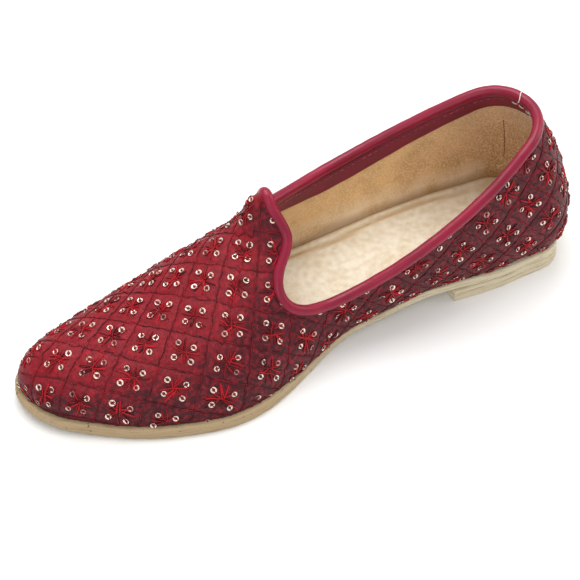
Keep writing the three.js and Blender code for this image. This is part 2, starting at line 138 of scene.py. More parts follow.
class MojariCloth(bpy.types.PropertyGroup):
    """The cloth and its embroidery."""

    cell: length("Cell", 17.7, "Side of one stitched square")
    turn: angle("Lattice turn", 40.5, "The lattice's turn from the shoe's length")
    start_along: length("Lattice start along", 204.7, "A cell's middle, along the flattened cloth")
    start_across: length("Lattice start across", -39.1, "A cell's middle, across the flattened cloth")
    fan: share("Fan", -0.1, "How the rows fan out across the vamp")
    bow: share("Bow", -0.045, "How the rows bow across the vamp")
    quilt_depth: length("Quilt depth", 0.42, "How deep the stitches pull the cloth")
    pucker_depth: length("Pucker depth", 0.16, "Folds that radiate from each star")
    line_width: length("Line thread", 0.46, "Thickness of the lattice's thread")
    star_width: length("Star thread", 0.8, "Thickness of the stars' thread")
    star_reach: length("Star reach", 7.0, "Length of a star's stitch")
    star_stitches: count("Star stitches", 13, "Stitches in one star")
    sequin_diameter: length("Sequin diameter", 2.85, "Outer size of a sequin")
    sequin_hole: share("Sequin hole", 0.44, "The hole as a share of the sequin")
    sequin_place: share("Sequin place", 0.2, "From the star's middle, as a share of the cell")
    # Painted highlight: the cloth's lit colour, painted where it faces up towards the light
    light: colour("Light cloth", (0.55, 0.04, 0.11), "The shot cloth where it faces up")
    # Painted shade: the cloth's shaded colour, painted on the sides turned from the light
    dark: colour("Dark cloth", (0.25, 0.025, 0.08), "The shot cloth on the sides")
    thread_light: colour("Light thread", (0.72, 0.03, 0.1), "The stars' bright thread")
    thread_dark: colour("Dark thread", (0.23, 0.01, 0.04), "The lattice's thread")
    line_light: colour("Line thread", (0.56, 0.03, 0.1), "The lattice's brighter stitches")
    pearl: colour("Sequin", (0.95, 0.87, 0.8), "Sequins")


class MojariFinish(bpy.types.PropertyGroup):
    """Colours of the other pieces."""

    binding: colour("Binding", (0.56, 0.035, 0.19), "Leatherette of the bead")
    facing: colour("Facing", (0.5, 0.03, 0.19), "Leatherette of the inner strip")
    stitch: colour("Stitch", (0.8, 0.35, 0.45), "Seam threads of the binding")
    lining: colour("Lining", (0.91, 0.75, 0.51), "Velvet inside")
    # The lining's colour towards the heel, darker than the lining
    lining_back: colour("Lining at the back", (0.76, 0.6, 0.43), "Worn velvet at the heel")
    sock: colour("Sock", (0.93, 0.9, 0.82), "Woven footbed")
    sock_edge: colour("Sock edge", (0.72, 0.56, 0.32), "The footbed's crease")
    sole_fore: colour("Sole", (0.68, 0.59, 0.46), "Cut edge of the forepart")
    sole_heel: colour("Heel", (0.82, 0.77, 0.66), "Cut edge of the heel")


class MojariStudio(bpy.types.PropertyGroup):
    """Camera and light."""

    azimuth: angle("Camera azimuth", 62.63, "From the toe towards the lateral side")
    elevation: angle("Camera elevation", 46.99, "Above the floor")
    distance: length("Camera distance", 800, "From the target")
    target_x: length("Target X", 114.21, "Where the camera looks")
    target_y: length("Target Y", 5.66, "Where the camera looks")
    target_z: length("Target Z", 22.69, "Where the camera looks")
    lens: share("Lens", 103.84, "Focal length on a 36 mm sensor")
    key_power: power("Key light", 11.0, "Soft light over the shoe")
    front_power: power("Front light", 3.0, "Soft light from the camera's side")
    side_power: power("Side light", 3.0, "Soft light from the heel")
    sky: share("Sky", 0.75, "Brightness of the surroundings")
    floor: colour("Floor", (0.96, 0.96, 0.955), "Pale ground")


# The last: the same formulas as the CAD part, in millimetres


def smooth(low, high, x):
    """Hermite step from 0 at low to 1 at high."""
    t = np.clip((x - low) / (high - low), 0, 1)
    return t * t * (3 - 2 * t)


def spline(rows):
    """A natural cubic spline through rows of numbers, as a function of the first column.

    Between knots k and k+1 with q = (x - x[k]) / h and p = 1 - q the value is
    p y[k] + q y[k+1] + ((p^3 - p) m[k] + (q^3 - q) m[k+1]) h^2 / 6.
    """
    table = np.array(rows, float)
    x, y = table[:, 0], table[:, 1:]
    n = len(x)
    h = np.diff(x)
    system = np.eye(n)
    load = np.zeros_like(y)
    for i in range(1, n - 1):
        system[i, i - 1 : i + 2] = h[i - 1], 2 * (h[i - 1] + h[i]), h[i]
        load[i] = 6 * ((y[i + 1] - y[i]) / h[i] - (y[i] - y[i - 1]) / h[i - 1])
    bend = np.linalg.solve(system, load)

    def value(at):
        at = np.asarray(at, float)
        k = np.clip(np.searchsorted(x, at, side="right") - 1, 0, n - 2)
        q = ((at - x[k]) / h[k])[..., None]
        p = 1 - q
        curve = ((p**3 - p) * bend[k] + (q**3 - q) * bend[k + 1]) * h[k][..., None] ** 2 / 6
        return p * y[k] + q * y[k + 1] + curve

    return value


def centripetal(points):
    """A centripetal Catmull-Rom curve through points, as a function of 0 to 1."""
    p = np.array(points, float)
    p = np.vstack([2 * p[0] - p[1], p, 2 * p[-1] - p[-2]])
    d = np.sum(np.diff(p, axis=0) ** 2, 1) ** 0.25

    def value(along):
        t = np.asarray(along, float) * (len(p) - 3)
        k = np.clip(np.floor(t).astype(int), 0, len(p) - 4)
        w = (t - k)[..., None]
        a, b, c, e = p[k], p[k + 1], p[k + 2], p[k + 3]
        u, v, z = d[k][..., None], d[k + 1][..., None], d[k + 2][..., None]
        leave = ((b - a) / u - (c - a) / (u + v) + (c - b) / v) * v
        reach = ((c - b) / v - (e - b) / (v + z) + (e - c) / z) * v
        square = -3 * b + 3 * c - 2 * leave - reach
        return b + leave * w + square * w**2 + (2 * b - 2 * c + leave + reach) * w**3

    return value


LOBE_ROWS = 11  # rows of the collar's table before the lobe runs into the quarter
LIFT_COUNT = 2
WAIST_TUCK = 0.7  # share of the lip that the waist loses
# Places as shares of the length from the back
PEAK_AT = 0.566
FLAT_FROM = 0.6
FLAT_TO = 0.84
WAIST_FULL = 0.42
FORE_FROM = 0.46
FORE_FULL = 0.66
SWING_FROM = 0.2
SWING_FULL = 1.1
TUCK_FROM = 0.1
TUCK_FULL = 0.3
TUCK_END = 0.5
BISECTIONS = 40


class Last:
    """The last and the upper's ribs, from named sizes f in millimetres."""

    def __init__(self, f):
        self.f = f
        heel, waist, ball = f.heel_width, f.waist_width, f.ball_width
        # Columns: at, as a share of the length from the back; half widths to the lateral and medial side
        plan = [
            (0.0, 0, 0),
            (0.04, 0.435 * heel, 0.43 * heel),
            (0.085, 0.475 * heel, 0.48 * heel),
            (0.15, 0.487 * heel, 0.505 * heel),
            (0.22, 0.467 * heel, 0.515 * heel),
            (0.3, 0.452 * waist, 0.532 * waist),
            (0.38, 0.468 * waist, 0.53 * waist),
            (0.46, 0.505 * waist, 0.53 * waist),
            (0.54, 0.447 * ball, 0.369 * ball),
            (0.62, 0.556 * ball, 0.386 * ball),
            (0.7, 0.609 * ball, 0.391 * ball),
            (0.78, 0.568 * ball, 0.36 * ball),
            (0.86, 0.472 * ball, 0.304 * ball),
            (0.92, 0.356 * ball, 0.24 * ball),
            (0.965, 0.25 * ball, 0.168 * ball),
            (1.0, 0, 0),
        ]
        self.squares = spline([(at, a**2, b**2) for at, a, b in plan])
        cone, instep, toe = f.cone_height, f.instep_height, f.toe_height
        # Columns: at, top, height, ridge, lean, foot, crown
        ribs = [
            (0.0, 0.175, cone, 0, 0.2, 0.12, 0.7),
            (0.08, 0.2, cone, 0, 0.16, 0.15, 0.6),
            (0.2, 0.235, 0.97 * cone, 0, 0.16, 0.24, 0.84),
            (0.32, 0.345, 0.88 * cone, 0, 0.22, 0.33, 1.0),
            (0.44, 0.455, 1.1 * instep, -0.02, 0.2, 0.38, 0.8),
            (0.56, 0.568, 0.945 * instep, -0.03, 0.08, 0.5, 0.36),
            (0.66, 0.664, 0.8 * instep, 0, 0.02, 0.44, 0.48),
            (0.76, 0.755, 1.22 * toe, 0.045, 0.02, 0.45, 0.54),
            (0.86, 0.84, 1.0 * toe, 0.05, 0.04, 0.45, 0.58),
            (0.95, 0.9, 0.89 * toe, 0.03, 0.08, 0.46, 0.62),
            (1.0, 0.914, 0.87 * toe, 0.025, 0.1, 0.46, 0.64),
        ]
        self.rib_at = spline(ribs)
        self.top_line = spline([(top, height) for _, top, height, *_ in ribs])
        side, arch, back = f.side_height, f.arch_height, f.back_height
        peak = 0.943 * instep + f.peak_rise
        # Columns: foot, at, height on the lateral side; at, height on the medial side
        collar = [
            (0.76, 0.545, peak, 0.545, peak),
            (0.748, 0.546, 1.09 * instep, 0.544, 1.09 * instep),
            (0.735, 0.539, 0.995 * instep, 0.539, 1.02 * instep),
            (0.72, 0.536, 0.92 * instep, 0.537, 0.955 * instep),
            (0.704, 0.544, 0.865 * instep, 0.538, 0.9 * instep),
            (0.688, 0.5575, 0.815 * instep, 0.541, 0.855 * instep),
            (0.67, 0.571, 0.765 * instep, 0.543, 0.81 * instep),
            (0.65, 0.581, 0.695 * instep, 0.542, 1.165 * arch),
            (0.622, 0.58, 1.35 * side, 0.538, 1.12 * arch),
            (0.592, 0.567, 1.2 * side, 0.53, 1.095 * arch),
            (0.56, 0.547, 1.095 * side, 0.518, 1.09 * arch),
            (0.52, 0.515, 1.02 * side, 0.497, 1.085 * arch),
            (0.46, 0.463, 1.01 * side, 0.455, 1.03 * arch),
            (0.4, 0.403, 1.19 * side, 0.4, arch),
            (0.33, 0.33, 1.475 * side, 0.33, 1.045 * arch),
            (0.26, 0.26, 0.677 * back, 0.26, 0.68 * back),
            (0.19, 0.19, 0.793 * back, 0.19, 0.79 * back),
            (0.12, 0.12, 0.885 * back, 0.12, 0.892 * back),
            (0.06, 0.06, 0.962 * back, 0.06, 0.957 * back),
            (0.018, 0.018, 1.001 * back, 0.018, 1.001 * back),
            (0.0, 0.0, back, 0.0, back),
        ]
        size = f.sole_length
        self.edges = {
            1: centripetal([(foot * size, at * size, height) for foot, at, height, _, _ in collar]),
            -1: centripetal([(foot * size, at * size, height) for foot, _, _, at, height in collar]),
        }
        self.lobe = LOBE_ROWS / (len(collar) - 1)
        # Columns: along, foot, at
        self.vamp = spline(
            [
                (0, 1.0, 1.0),
                (0.2, 0.97, 0.965),
                (0.45, 0.9, 0.86),
                (0.7, 0.83, 0.72),
                (1, collar[0][0], collar[0][1]),
            ]
        )
        self.heel_end = f.breast_from_back / f.sole_length
        self.heel_height = LIFT_COUNT * (f.lift_thickness + f.gap)

    def x_at(self, at):
        return at * self.f.sole_length - self.f.back_to_heel_centre

    def share_at(self, x):
        return (x + self.f.back_to_heel_centre) / self.f.sole_length

    def centre_y(self, at):
        return -self.f.toe_swing * smooth(SWING_FROM, SWING_FULL, at)

    def plan_point(self, turn, side):
        """x and y on the feather line; turn runs from 0 at the toe to 1 at the back."""
        at = (1 + np.cos(np.pi * turn)) / 2
        squares = self.squares(at)
        half = np.sqrt(np.maximum(0, np.where(side > 0, squares[..., 0], squares[..., 1])))
        return np.stack([self.x_at(at), self.centre_y(at) + side * half], -1)

    def plan_outward(self, turn, side):
        """Unit direction away from the foot, level, at each turn."""
        step = 1e-3
        ahead = self.plan_point(np.abs(turn - step), np.where(turn < step, -side, side))
        past = turn + step > 1
        beyond = np.where(past, 2 - turn - step, turn + step)
        behind = self.plan_point(beyond, np.where(past, -side, side))
        along = behind - ahead
        along /= np.linalg.norm(along, axis=-1, keepdims=True)
        return np.stack([-along[..., 1], along[..., 0]], -1) * -np.asarray(side, float)[..., None]

    def underside_z(self, at):
        low = self.heel_height * (1 - smooth(self.heel_end, FLAT_FROM, at))
        return np.where(at <= FLAT_TO, low, self.f.toe_spring * ((at - FLAT_TO) / (1 - FLAT_TO)) ** 2)

    def top_z(self, at):
        f = self.f
        thinner = smooth(self.heel_end, WAIST_FULL, at)
        waist = f.seat_thickness + (f.waist_thickness - f.seat_thickness) * thinner
        fore = (f.fore_thickness - waist) * smooth(FORE_FROM, FORE_FULL, at)
        return self.underside_z(at) + waist + fore

    def lip_at(self, at):
        tuck = (1 - smooth(TUCK_END, FORE_FULL, at)) * smooth(TUCK_FROM, TUCK_FULL, at)
        return self.f.sole_lip * (1 - WAIST_TUCK * tuck)

    def point(self, at, up, side):
        """Points of the last: a cubic Bezier over each rib from the feather line to the top line."""
        f = self.f
        at, up = np.broadcast_arrays(np.asarray(at, float), np.asarray(up, float))
        side = np.broadcast_to(np.asarray(side, float), at.shape)
        top, height, ridge, lean, foot, crown = np.moveaxis(self.rib_at(at), -1, 0)
        turn = np.arccos(np.clip(2 * at - 1, -1, 1)) / np.pi
        base = self.plan_point(turn, side)
        out = self.plan_outward(turn, side)
        low = self.top_z(at) + f.gap
        rise = height - low
        peak = np.stack([self.x_at(top), self.centre_y(top) + ridge * f.ball_width], -1)
        reach = (base - peak) * crown[..., None]
        step = 0.002
        climb = self.top_line(top + step)[..., 0] - self.top_line(top - step)[..., 0]
        slope = climb / (2 * step * f.sole_length)
        over = base + out * (lean * rise)[..., None]
        handles = [
            np.concatenate([base, low[..., None]], -1),
            np.concatenate([over, (low + foot * rise)[..., None]], -1),
            np.concatenate([peak + reach, (height + slope * reach[..., 0])[..., None]], -1),
            np.concatenate([peak, height[..., None]], -1),
        ]
        u = up[..., None]
        shares = [(1 - u) ** 3, 3 * (1 - u) ** 2 * u, 3 * (1 - u) * u**2, u**3]
        p = sum(a * b for a, b in zip(shares, handles))
        ahead = p[..., 0] - self.x_at(PEAK_AT)
        forward = (1 - smooth(0, f.peak_reach, ahead)) * smooth(-f.peak_behind, -f.peak_reach, ahead)
        middle = self.centre_y(PEAK_AT) + self.rib_at(PEAK_AT)[2] * f.ball_width
        across = np.exp(-(((p[..., 1] - middle) / f.peak_spread) ** 2))
        p[..., 2] += f.peak_rise * forward**2 * across
        return p

    def up_at_height(self, at, height, side):
        """How far up its rib the last reaches a height, by bisection."""
        low = np.zeros_like(at)
        high = np.ones_like(at)
        for _ in range(BISECTIONS):
            middle = (low + high) / 2
            below = self.point(at, middle, side)[..., 2] < height
            low = np.where(below, middle, low)
            high = np.where(below, high, middle)
        return (low + high) / 2

    def edge_ribs(self, along, side):
        """Rows of foot, at and up for ribs that end on the upper's edge."""
        x, y, z = np.moveaxis(self.edges[side](along), -1, 0)
        at = np.clip(y / self.f.sole_length, 0, 1)
        up = np.where(along > 0, self.up_at_height(at, z, float(side)), 1)
        return np.stack([np.clip(x / self.f.sole_length, 0, 1), at, up], -1)

    def even(self, low, high, number):
        """Parameters at even distances along the lateral edge."""
        fine = np.linspace(low, high, 12 * number + 1)
        rib = self.edge_ribs(fine, 1)
        points = self.point(rib[:, 1], rib[:, 2], 1.0)
        walked = walk(points)
        return np.interp(np.linspace(0, walked[-1], number + 1), walked, fine)


# The skin: fine grids of the upper on both sides, their normals and their flattened cloth

VAMP_COLUMNS = 120
THROAT_COLUMNS = 70
QUARTER_COLUMNS = 110
COLUMNS = VAMP_COLUMNS + THROAT_COLUMNS + QUARTER_COLUMNS
ROWS = 96
FLAT_COLUMN_STEP = 5
FLAT_ROW_STEP = 8
FLAT_ROUNDS = 60
COTANGENTS = (0.05, 5)  # the weights' lowest and highest value
SIDES = (1, -1)  # lateral, medial
CALM_FROM, CALM_FULL = 40, 80  # columns from the throat's tip where the edge's blur starts and is full
CALM_WIDTH = 5.0
CALM_UP = 0.35  # the share of a rib's height where the blur's shift starts


def unit(v):
    return v / np.maximum(np.linalg.norm(v, axis=-1, keepdims=True), 1e-12)


def walk(points):
    """The distance along a row of points, from 0 at the first."""
    return np.concatenate([[0], np.cumsum(np.linalg.norm(np.diff(points, axis=0), axis=1))])


def turns_of(around):
    return np.arange(around) * 2 * np.pi / around


def circles(a, b, around):
    """Circles of unit vectors, from each a through its b."""
    t = turns_of(around)[:, None]
    return np.cos(t) * a[..., None, :] + np.sin(t) * b[..., None, :]


def weld(columns, rows, vamp, back):
    """Vertex numbers of both sides' grids, which share the toe, the ridge and, if back is set, the back."""
    lateral = np.arange((columns + 1) * (rows + 1)).reshape(columns + 1, rows + 1)
    medial = lateral + lateral.size
    medial[0] = lateral[0]
    medial[: vamp + 1, -1] = lateral[: vamp + 1, -1]
    if back:
        medial[-1] = lateral[-1]
    return {1: lateral, -1: medial}


def grid_normals(points, side):
    """Unit outward normals of one side's grid, from the cross product of its two directions."""
    return unit(np.cross(np.gradient(points, axis=0), np.gradient(points, axis=1))) * side


def flatten(points, vamp):
    """Lays both sides' grids flat, as complex numbers, with as little stretch as it can.

    Each triangle keeps its own flat copy z. Rounds alternate between the best turn a of each copy,
    a = sum of cot conj(dz) dw over its edges, made unit, and the positions w that solve
    sum of cot (dw - a dz) = 0 at every vertex.
    """
    columns, rows = points[1].shape[0] - 1, points[1].shape[1] - 1
    ids = weld(columns, rows, vamp, False)
    place = np.zeros((2 * ids[1].size, 3))
    flat = np.zeros(2 * ids[1].size, complex)
    triangles, sides = [], []
    for side in SIDES:
        p, k = points[side], ids[side]
        place[k] = p
        walked = np.cumsum(np.linalg.norm(np.diff(p, axis=1), axis=-1), 1)
        height = np.concatenate([np.zeros((columns + 1, 1)), walked], 1)
        top = height[:, -1].copy()
        top[vamp:] = top[vamp]
        flat[k] = p[..., 0] + 1j * side * (top[:, None] - height)
        a, b, c, d = k[:-1, :-1], k[1:, :-1], k[1:, 1:], k[:-1, 1:]
        both = [np.stack(corner, -1).reshape(-1, 3) for corner in ((a, b, d), (b, c, d))]
        triangles += both
        sides += [np.full(len(t), side) for t in both]
    tri, turned = np.concatenate(triangles), np.concatenate(sides)
    whole = (tri[:, 0] != tri[:, 1]) & (tri[:, 1] != tri[:, 2]) & (tri[:, 2] != tri[:, 0])
    tri, turned = tri[whole], turned[whole]
    used, tri = np.unique(tri, return_inverse=True)
    tri = tri.reshape(-1, 3)
    q, w = place[used], flat[used]
    edge = [q[tri[:, (k + 2) % 3]] - q[tri[:, (k + 1) % 3]] for k in range(3)]
    area = np.linalg.norm(np.cross(edge[0], edge[1]), axis=1)
    cot = [np.clip(-(edge[k - 2] * edge[k - 1]).sum(1) / area, *COTANGENTS) for k in range(3)]
    base = np.linalg.norm(edge[2], axis=1)
    foot = -(edge[1] * edge[2]).sum(1) / base
    copy = np.stack([0j * base, base + 0j, foot + 1j * area / base * turned], 1)
    n = len(used)
    system = np.zeros((n, n))
    pairs = [(k, tri[:, (k + 1) % 3], tri[:, (k + 2) % 3]) for k in range(3)]
    steps = [copy[:, (k + 2) % 3] - copy[:, (k + 1) % 3] for k in range(3)]
    for k, i, j in pairs:
        np.add.at(system, (i, i), cot[k])
        np.add.at(system, (j, j), cot[k])
        np.add.at(system, (i, j), -cot[k])
        np.add.at(system, (j, i), -cot[k])
    system[0] = 0
    system[0, 0] = 1
    solve = np.linalg.inv(system)
    held = w[0]
    for _ in range(FLAT_ROUNDS):
        turn = sum(cot[k] * np.conj(steps[k]) * (w[j] - w[i]) for k, i, j in pairs)
        turn /= np.abs(turn)
        load = np.zeros(n, complex)
        for k, i, j in pairs:
            pull = cot[k] * turn * steps[k]
            np.add.at(load, j, pull)
            np.add.at(load, i, -pull)
        load[0] = held
        w = solve @ load
    flat[used] = w
    return {side: flat[ids[side]] for side in SIDES}


def refine(coarse, columns, rows):
    """Linear interpolation of a coarse grid of complex numbers to a fine one."""
    i = np.linspace(0, coarse.shape[0] - 1, columns + 1)
    j = np.linspace(0, coarse.shape[1] - 1, rows + 1)
    a = np.minimum(i.astype(int), coarse.shape[0] - 2)
    b = np.minimum(j.astype(int), coarse.shape[1] - 2)
    s, t = (i - a)[:, None], (j - b)[None, :]
    near = coarse[a][:, b] * (1 - t) + coarse[a][:, b + 1] * t
    far = coarse[a + 1][:, b] * (1 - t) + coarse[a + 1][:, b + 1] * t
    return near * (1 - s) + far * s


def calm_edge(points):
    """Eases the edge's path: a blur that is wide along the quarters and narrow at the throat's tip.

    Each rib takes the edge's shift at its top and fades it out downwards.
    """
    first = VAMP_COLUMNS
    ring = np.concatenate([points[1][first:, -1], points[-1][first + 1 : -1, -1][::-1]])
    from_tip = np.minimum(np.arange(len(ring)), len(ring) - np.arange(len(ring)))
    wide = smooth(CALM_FROM, CALM_FULL, from_tip)[:, None]
    shift = (soften(ring, CALM_WIDTH) - ring) * wide
    fade = smooth(CALM_UP, 1, np.linspace(0, 1, ROWS + 1))[None, :, None]
    number = len(points[1]) - first
    back = np.concatenate([shift[:1], shift[number:][::-1], shift[number - 1 : number]])
    points[1][first:] += shift[:number, None] * fade
    points[-1][first:] += back[:, None] * fade


RIPPLE_WAVES = 14
RIPPLE_SCALE = 2.4  # brings the mean of the waves to about 1


def ripple(points, wavelength, seed):
    """A soft random field between about -1 and 1: a sum of plane waves in random directions."""
    random = np.random.default_rng(seed)
    waves = random.normal(size=(RIPPLE_WAVES, 3))
    lengths = np.linalg.norm(waves, axis=1, keepdims=True)
    waves *= (2 * np.pi / wavelength) * random.uniform(0.6, 1.4, (RIPPLE_WAVES, 1)) / lengths
    phases = random.uniform(0, 2 * np.pi, RIPPLE_WAVES)
    return np.sin(points @ waves.T + phases).mean(-1) * RIPPLE_SCALE


def sizes(group):
    """The group's properties as plain numbers, lengths in millimetres."""
    made = {}
    for name, prop in group.bl_rna.properties.items():
        if name in ("rna_type", "name"):
            continue
        value = getattr(group, name)
        if prop.type == "FLOAT" and prop.is_array:
            value = tuple(value)
        elif prop.type == "FLOAT" and prop.unit == "LENGTH":
            value = value / MM
        made[name] = value
    return made


# The lattice's warp on the vamp, in cells
WARP_MIDDLE = 2.5j
WARP_REACH = 4.5
WARP_SHIFT = -0.09 + 0.12j
WARP_ALONG = 0.028 + 0.029j  # for each cell along
WARP_ACROSS = 0.019 - 0.015j  # for each cell across


@functools.lru_cache(maxsize=1)
def build_skin(form, cloth):
    """Points, normals and lattice coordinates of the upper's skin, for tuples of named sizes."""
    f = types.SimpleNamespace(**dict(form))
    c = types.SimpleNamespace(**dict(cloth))
    last = Last(f)
    up = np.linspace(0, 1, ROWS + 1)
    points = {}
    vamp = last.vamp(np.arange(VAMP_COLUMNS) / VAMP_COLUMNS)
    vamp = np.concatenate([vamp, np.ones((VAMP_COLUMNS, 1))], 1)
    throat = last.even(0, last.lobe, THROAT_COLUMNS)
    quarter = last.even(last.lobe, 1, QUARTER_COLUMNS)[1:]
    for side in SIDES:
        rib = np.concatenate([vamp, last.edge_ribs(np.concatenate([throat, quarter]), side)])
        at = rib[:, :1] + (rib[:, 1:2] - rib[:, :1]) * up**2
        points[side] = last.point(at, rib[:, 2:] * up, float(side))
    calm_edge(points)
    normals = {side: grid_normals(points[side], side) for side in SIDES}
    shared = slice(0, VAMP_COLUMNS + 1)
    for place in ((0,), (-1,), (shared, -1)):
        both = unit(normals[1][place] + normals[-1][place])
        normals[1][place] = both
        normals[-1][place] = both
    coarse = {s: points[s][::FLAT_COLUMN_STEP, ::FLAT_ROW_STEP] for s in SIDES}
    flat = flatten(coarse, VAMP_COLUMNS // FLAT_COLUMN_STEP)
    start = c.start_along + 1j * c.start_across
    lattice = {}
    for side in SIDES:
        z = (refine(flat[side], COLUMNS, ROWS) - start) / (c.cell * np.exp(1j * c.turn))
        q = z - WARP_MIDDLE
        window = 1 / (1 + (np.abs(q) / WARP_REACH) ** 4)
        warp = WARP_SHIFT + WARP_ALONG * q.real + WARP_ACROSS * q.imag
        warp = warp + 1j * c.fan * q.real * q.imag + 1j * c.bow * q.imag**2
        lattice[side] = z + warp * window
    return types.SimpleNamespace(last=last, f=f, c=c, points=points, normals=normals, lattice=lattice)


def current_skin():
    """The skin for the scene's sizes, worked out once."""
    scene = bpy.context.scene
    form = tuple(sorted(sizes(scene.mojari_form).items()))
    cloth = tuple(sorted(sizes(scene.mojari_cloth).items()))
    return build_skin(form, cloth)


# Quilting: shares of a cell, apart from the depths' shares and the widths in millimetres
LINE_STITCHES = 5
SWELL_FULL = 0.16  # from a line of stitches
DIMPLE = (0.02, 0.24)  # from the star's middle
FOLD_RISE = (0.04, 0.14)
FOLD_FALL = (0.3, 0.46)
FOLD_NUMBER = 8
FOLD_STRAY = 3
QUILT_LEVEL = 0.55  # share of the depth that lies under the skin
SEAM_SHARE = 0.45  # folds across a line, as a share of the pucker's depth
SEAM_SPREAD = 2.2
SLACK_DEPTH = 0.175  # soft unevenness of the whole cloth, in millimetres
HEM = 0.04  # share of a rib where the quilting fades in over the sole
UNDER_BEAD = 0.97  # share of a quarter's rib where it fades out again


def in_cell(lattice):
    """Place in its own cell, -0.5 to 0.5 both ways, and the distance to the nearest line."""
    r = lattice.real - np.round(lattice.real)
    s = lattice.imag - np.round(lattice.imag)
    return r, s, 0.5 - np.maximum(np.abs(r), np.abs(s))


def quilt(skin, side):
    """How far the stitched cloth stands over the skin, in millimetres.

    Lines of the lattice are troughs, smooth(0, SWELL_FULL, d) at distance d, the star's middle is a
    dimple with folds cos(FOLD_NUMBER angle) round it, and the cloth swells between them.
    """
    points = skin.points[side]
    r, s, to_line = in_cell(skin.lattice[side])
    middle = np.hypot(r, s)
    depth, pucker = skin.c.quilt_depth, skin.c.pucker_depth
    swell = depth * (smooth(0, SWELL_FULL, to_line) * smooth(*DIMPLE, middle) - QUILT_LEVEL)
    folds = pucker * np.cos(FOLD_NUMBER * np.arctan2(s, r) + FOLD_STRAY * ripple(points, 30, 4))
    folds *= smooth(*FOLD_RISE, middle) * (1 - smooth(*FOLD_FALL, middle))
    turns = (r + s) * 2 * np.pi * LINE_STITCHES
    across = SEAM_SHARE * pucker * np.sin(turns + ripple(points, 20, 5))
    across *= np.exp(-((to_line * skin.c.cell / SEAM_SPREAD) ** 2))
    slack = SLACK_DEPTH * ripple(points, 26, 7)
    up = np.linspace(0, 1, ROWS + 1)
    quarter = np.arange(COLUMNS + 1)[:, None] >= VAMP_COLUMNS
    fade = smooth(0, HEM, up) * np.where(quarter, 1 - smooth(UNDER_BEAD, 1, up), 1)
    return (swell + folds + across + slack) * fade


CELL_REACH = 0.62  # a cell's vertices, each way from its middle, as a share of the cell
MISS = 0.055  # the farthest vertex that a place may use, as a share of the cell


def surface_at(skin, wanted, lift):
    """Points, normals and the rows' way on the quilted skin at lattice coordinates, by one Newton step.

    The nearest grid vertex is found cell by cell, and the step solves
    wanted - w = w_i di + w_j dj. Rows that have no vertex near are marked False.
    """
    found = np.zeros(len(wanted), bool)
    place = np.zeros((len(wanted), 3))
    normal = np.zeros((len(wanted), 3))
    row_way = np.zeros((len(wanted), 3))
    home = np.round(wanted.real) + 1j * np.round(wanted.imag)
    for side in SIDES:
        w = skin.lattice[side]
        top = skin.points[side] + skin.normals[side] * quilt(skin, side)[..., None]
        wi, wj = np.gradient(w, axis=0), np.gradient(w, axis=1)
        pi, pj = np.gradient(top, axis=0), np.gradient(top, axis=1)
        flat_w = w.ravel()
        for cell in np.unique(home[~found]):
            mine = np.flatnonzero((home == cell) & ~found)
            away = flat_w - cell
            near = np.flatnonzero((np.abs(away.real) < CELL_REACH) & (np.abs(away.imag) < CELL_REACH))
            if not len(near):
                continue
            gap = np.abs(wanted[mine][:, None] - flat_w[near][None, :])
            best = gap.argmin(1)
            ok = gap[np.arange(len(mine)), best] < MISS
            mine, vertex = mine[ok], near[best[ok]]
            i, j = np.unravel_index(vertex, w.shape)
            a, b, miss = wi[i, j], wj[i, j], wanted[mine] - w[i, j]
            area = a.real * b.imag - a.imag * b.real
            di = np.clip((miss.real * b.imag - miss.imag * b.real) / area, -1, 1)
            dj = np.clip((a.real * miss.imag - a.imag * miss.real) / area, -1, 1)
            n = skin.normals[side][i, j]
            place[mine] = top[i, j] + pi[i, j] * di[:, None] + pj[i, j] * dj[:, None] + n * lift
            normal[mine] = n
            row_way[mine] = unit((pi[i, j] * b.imag[:, None] - pj[i, j] * a.imag[:, None]) / area[:, None])
            found[mine] = True
    return found, place, normal, row_way


def lattice_cells(skin):
    """Middles of all the lattice's cells that the skin reaches."""
    both = np.concatenate([skin.lattice[s].ravel() for s in SIDES])
    return np.unique(np.round(both.real) + 1j * np.round(both.imag))


# Meshes


def grid_faces(a, b, closed_a=False, closed_b=False, start=0):
    """Quads of a grid with a times b points, numbered row by row."""
    i, j = np.arange(a if closed_a else a - 1), np.arange(b if closed_b else b - 1)
    i, j = np.meshgrid(i, j, indexing="ij")
    i, j = i.ravel(), j.ravel()
    n, m = (i + 1) % a, (j + 1) % b
    return start + np.stack([i * b + j, n * b + j, n * b + m, i * b + m], -1)


def quads(ids, flip):
    """Faces between the numbered points of one side's grid."""
    corners = [ids[:-1, :-1], ids[1:, :-1], ids[1:, 1:], ids[:-1, 1:]]
    return np.stack(corners[::-1] if flip else corners, -1).reshape(-1, 4)


def make(name, points, faces, material, slot, replaces=(), layers=None, uv=None):
    """A smooth mesh object from points in millimetres and arrays of faces, riding on the CAD body."""
    groups = faces if isinstance(faces, list) else [faces]
    used, numbers = np.unique(np.concatenate([g.ravel() for g in groups]), return_inverse=True)
    polygons = []
    start = 0
    for g in groups:
        polygons += numbers[start : start + g.size].reshape(g.shape).tolist()
        start += g.size
    mesh = bpy.data.meshes.new(name)
    mesh.from_pydata((points[used] * MM).tolist(), [], polygons)
    mesh.polygons.foreach_set("use_smooth", np.ones(len(mesh.polygons), bool))
    for layer, values in (layers or {}).items():
        made = mesh.attributes.new(layer, "FLOAT", "POINT")
        made.data.foreach_set("value", np.asarray(values, np.float32)[used])
    if uv is not None:
        corner = np.zeros(len(mesh.loops), np.int32)
        mesh.loops.foreach_get("vertex_index", corner)
        chart = mesh.uv_layers.new(name="cloth")
        chart.data.foreach_set("uv", np.asarray(uv, np.float32)[used][corner].ravel())
    mesh.update()
    obj = bpy.data.objects.new(name, mesh)
    bpy.context.scene.collection.objects.link(obj)
    obj.data.materials.append(material)
    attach(obj, "root")
    if replaces:
        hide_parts(*replaces)
    return obj


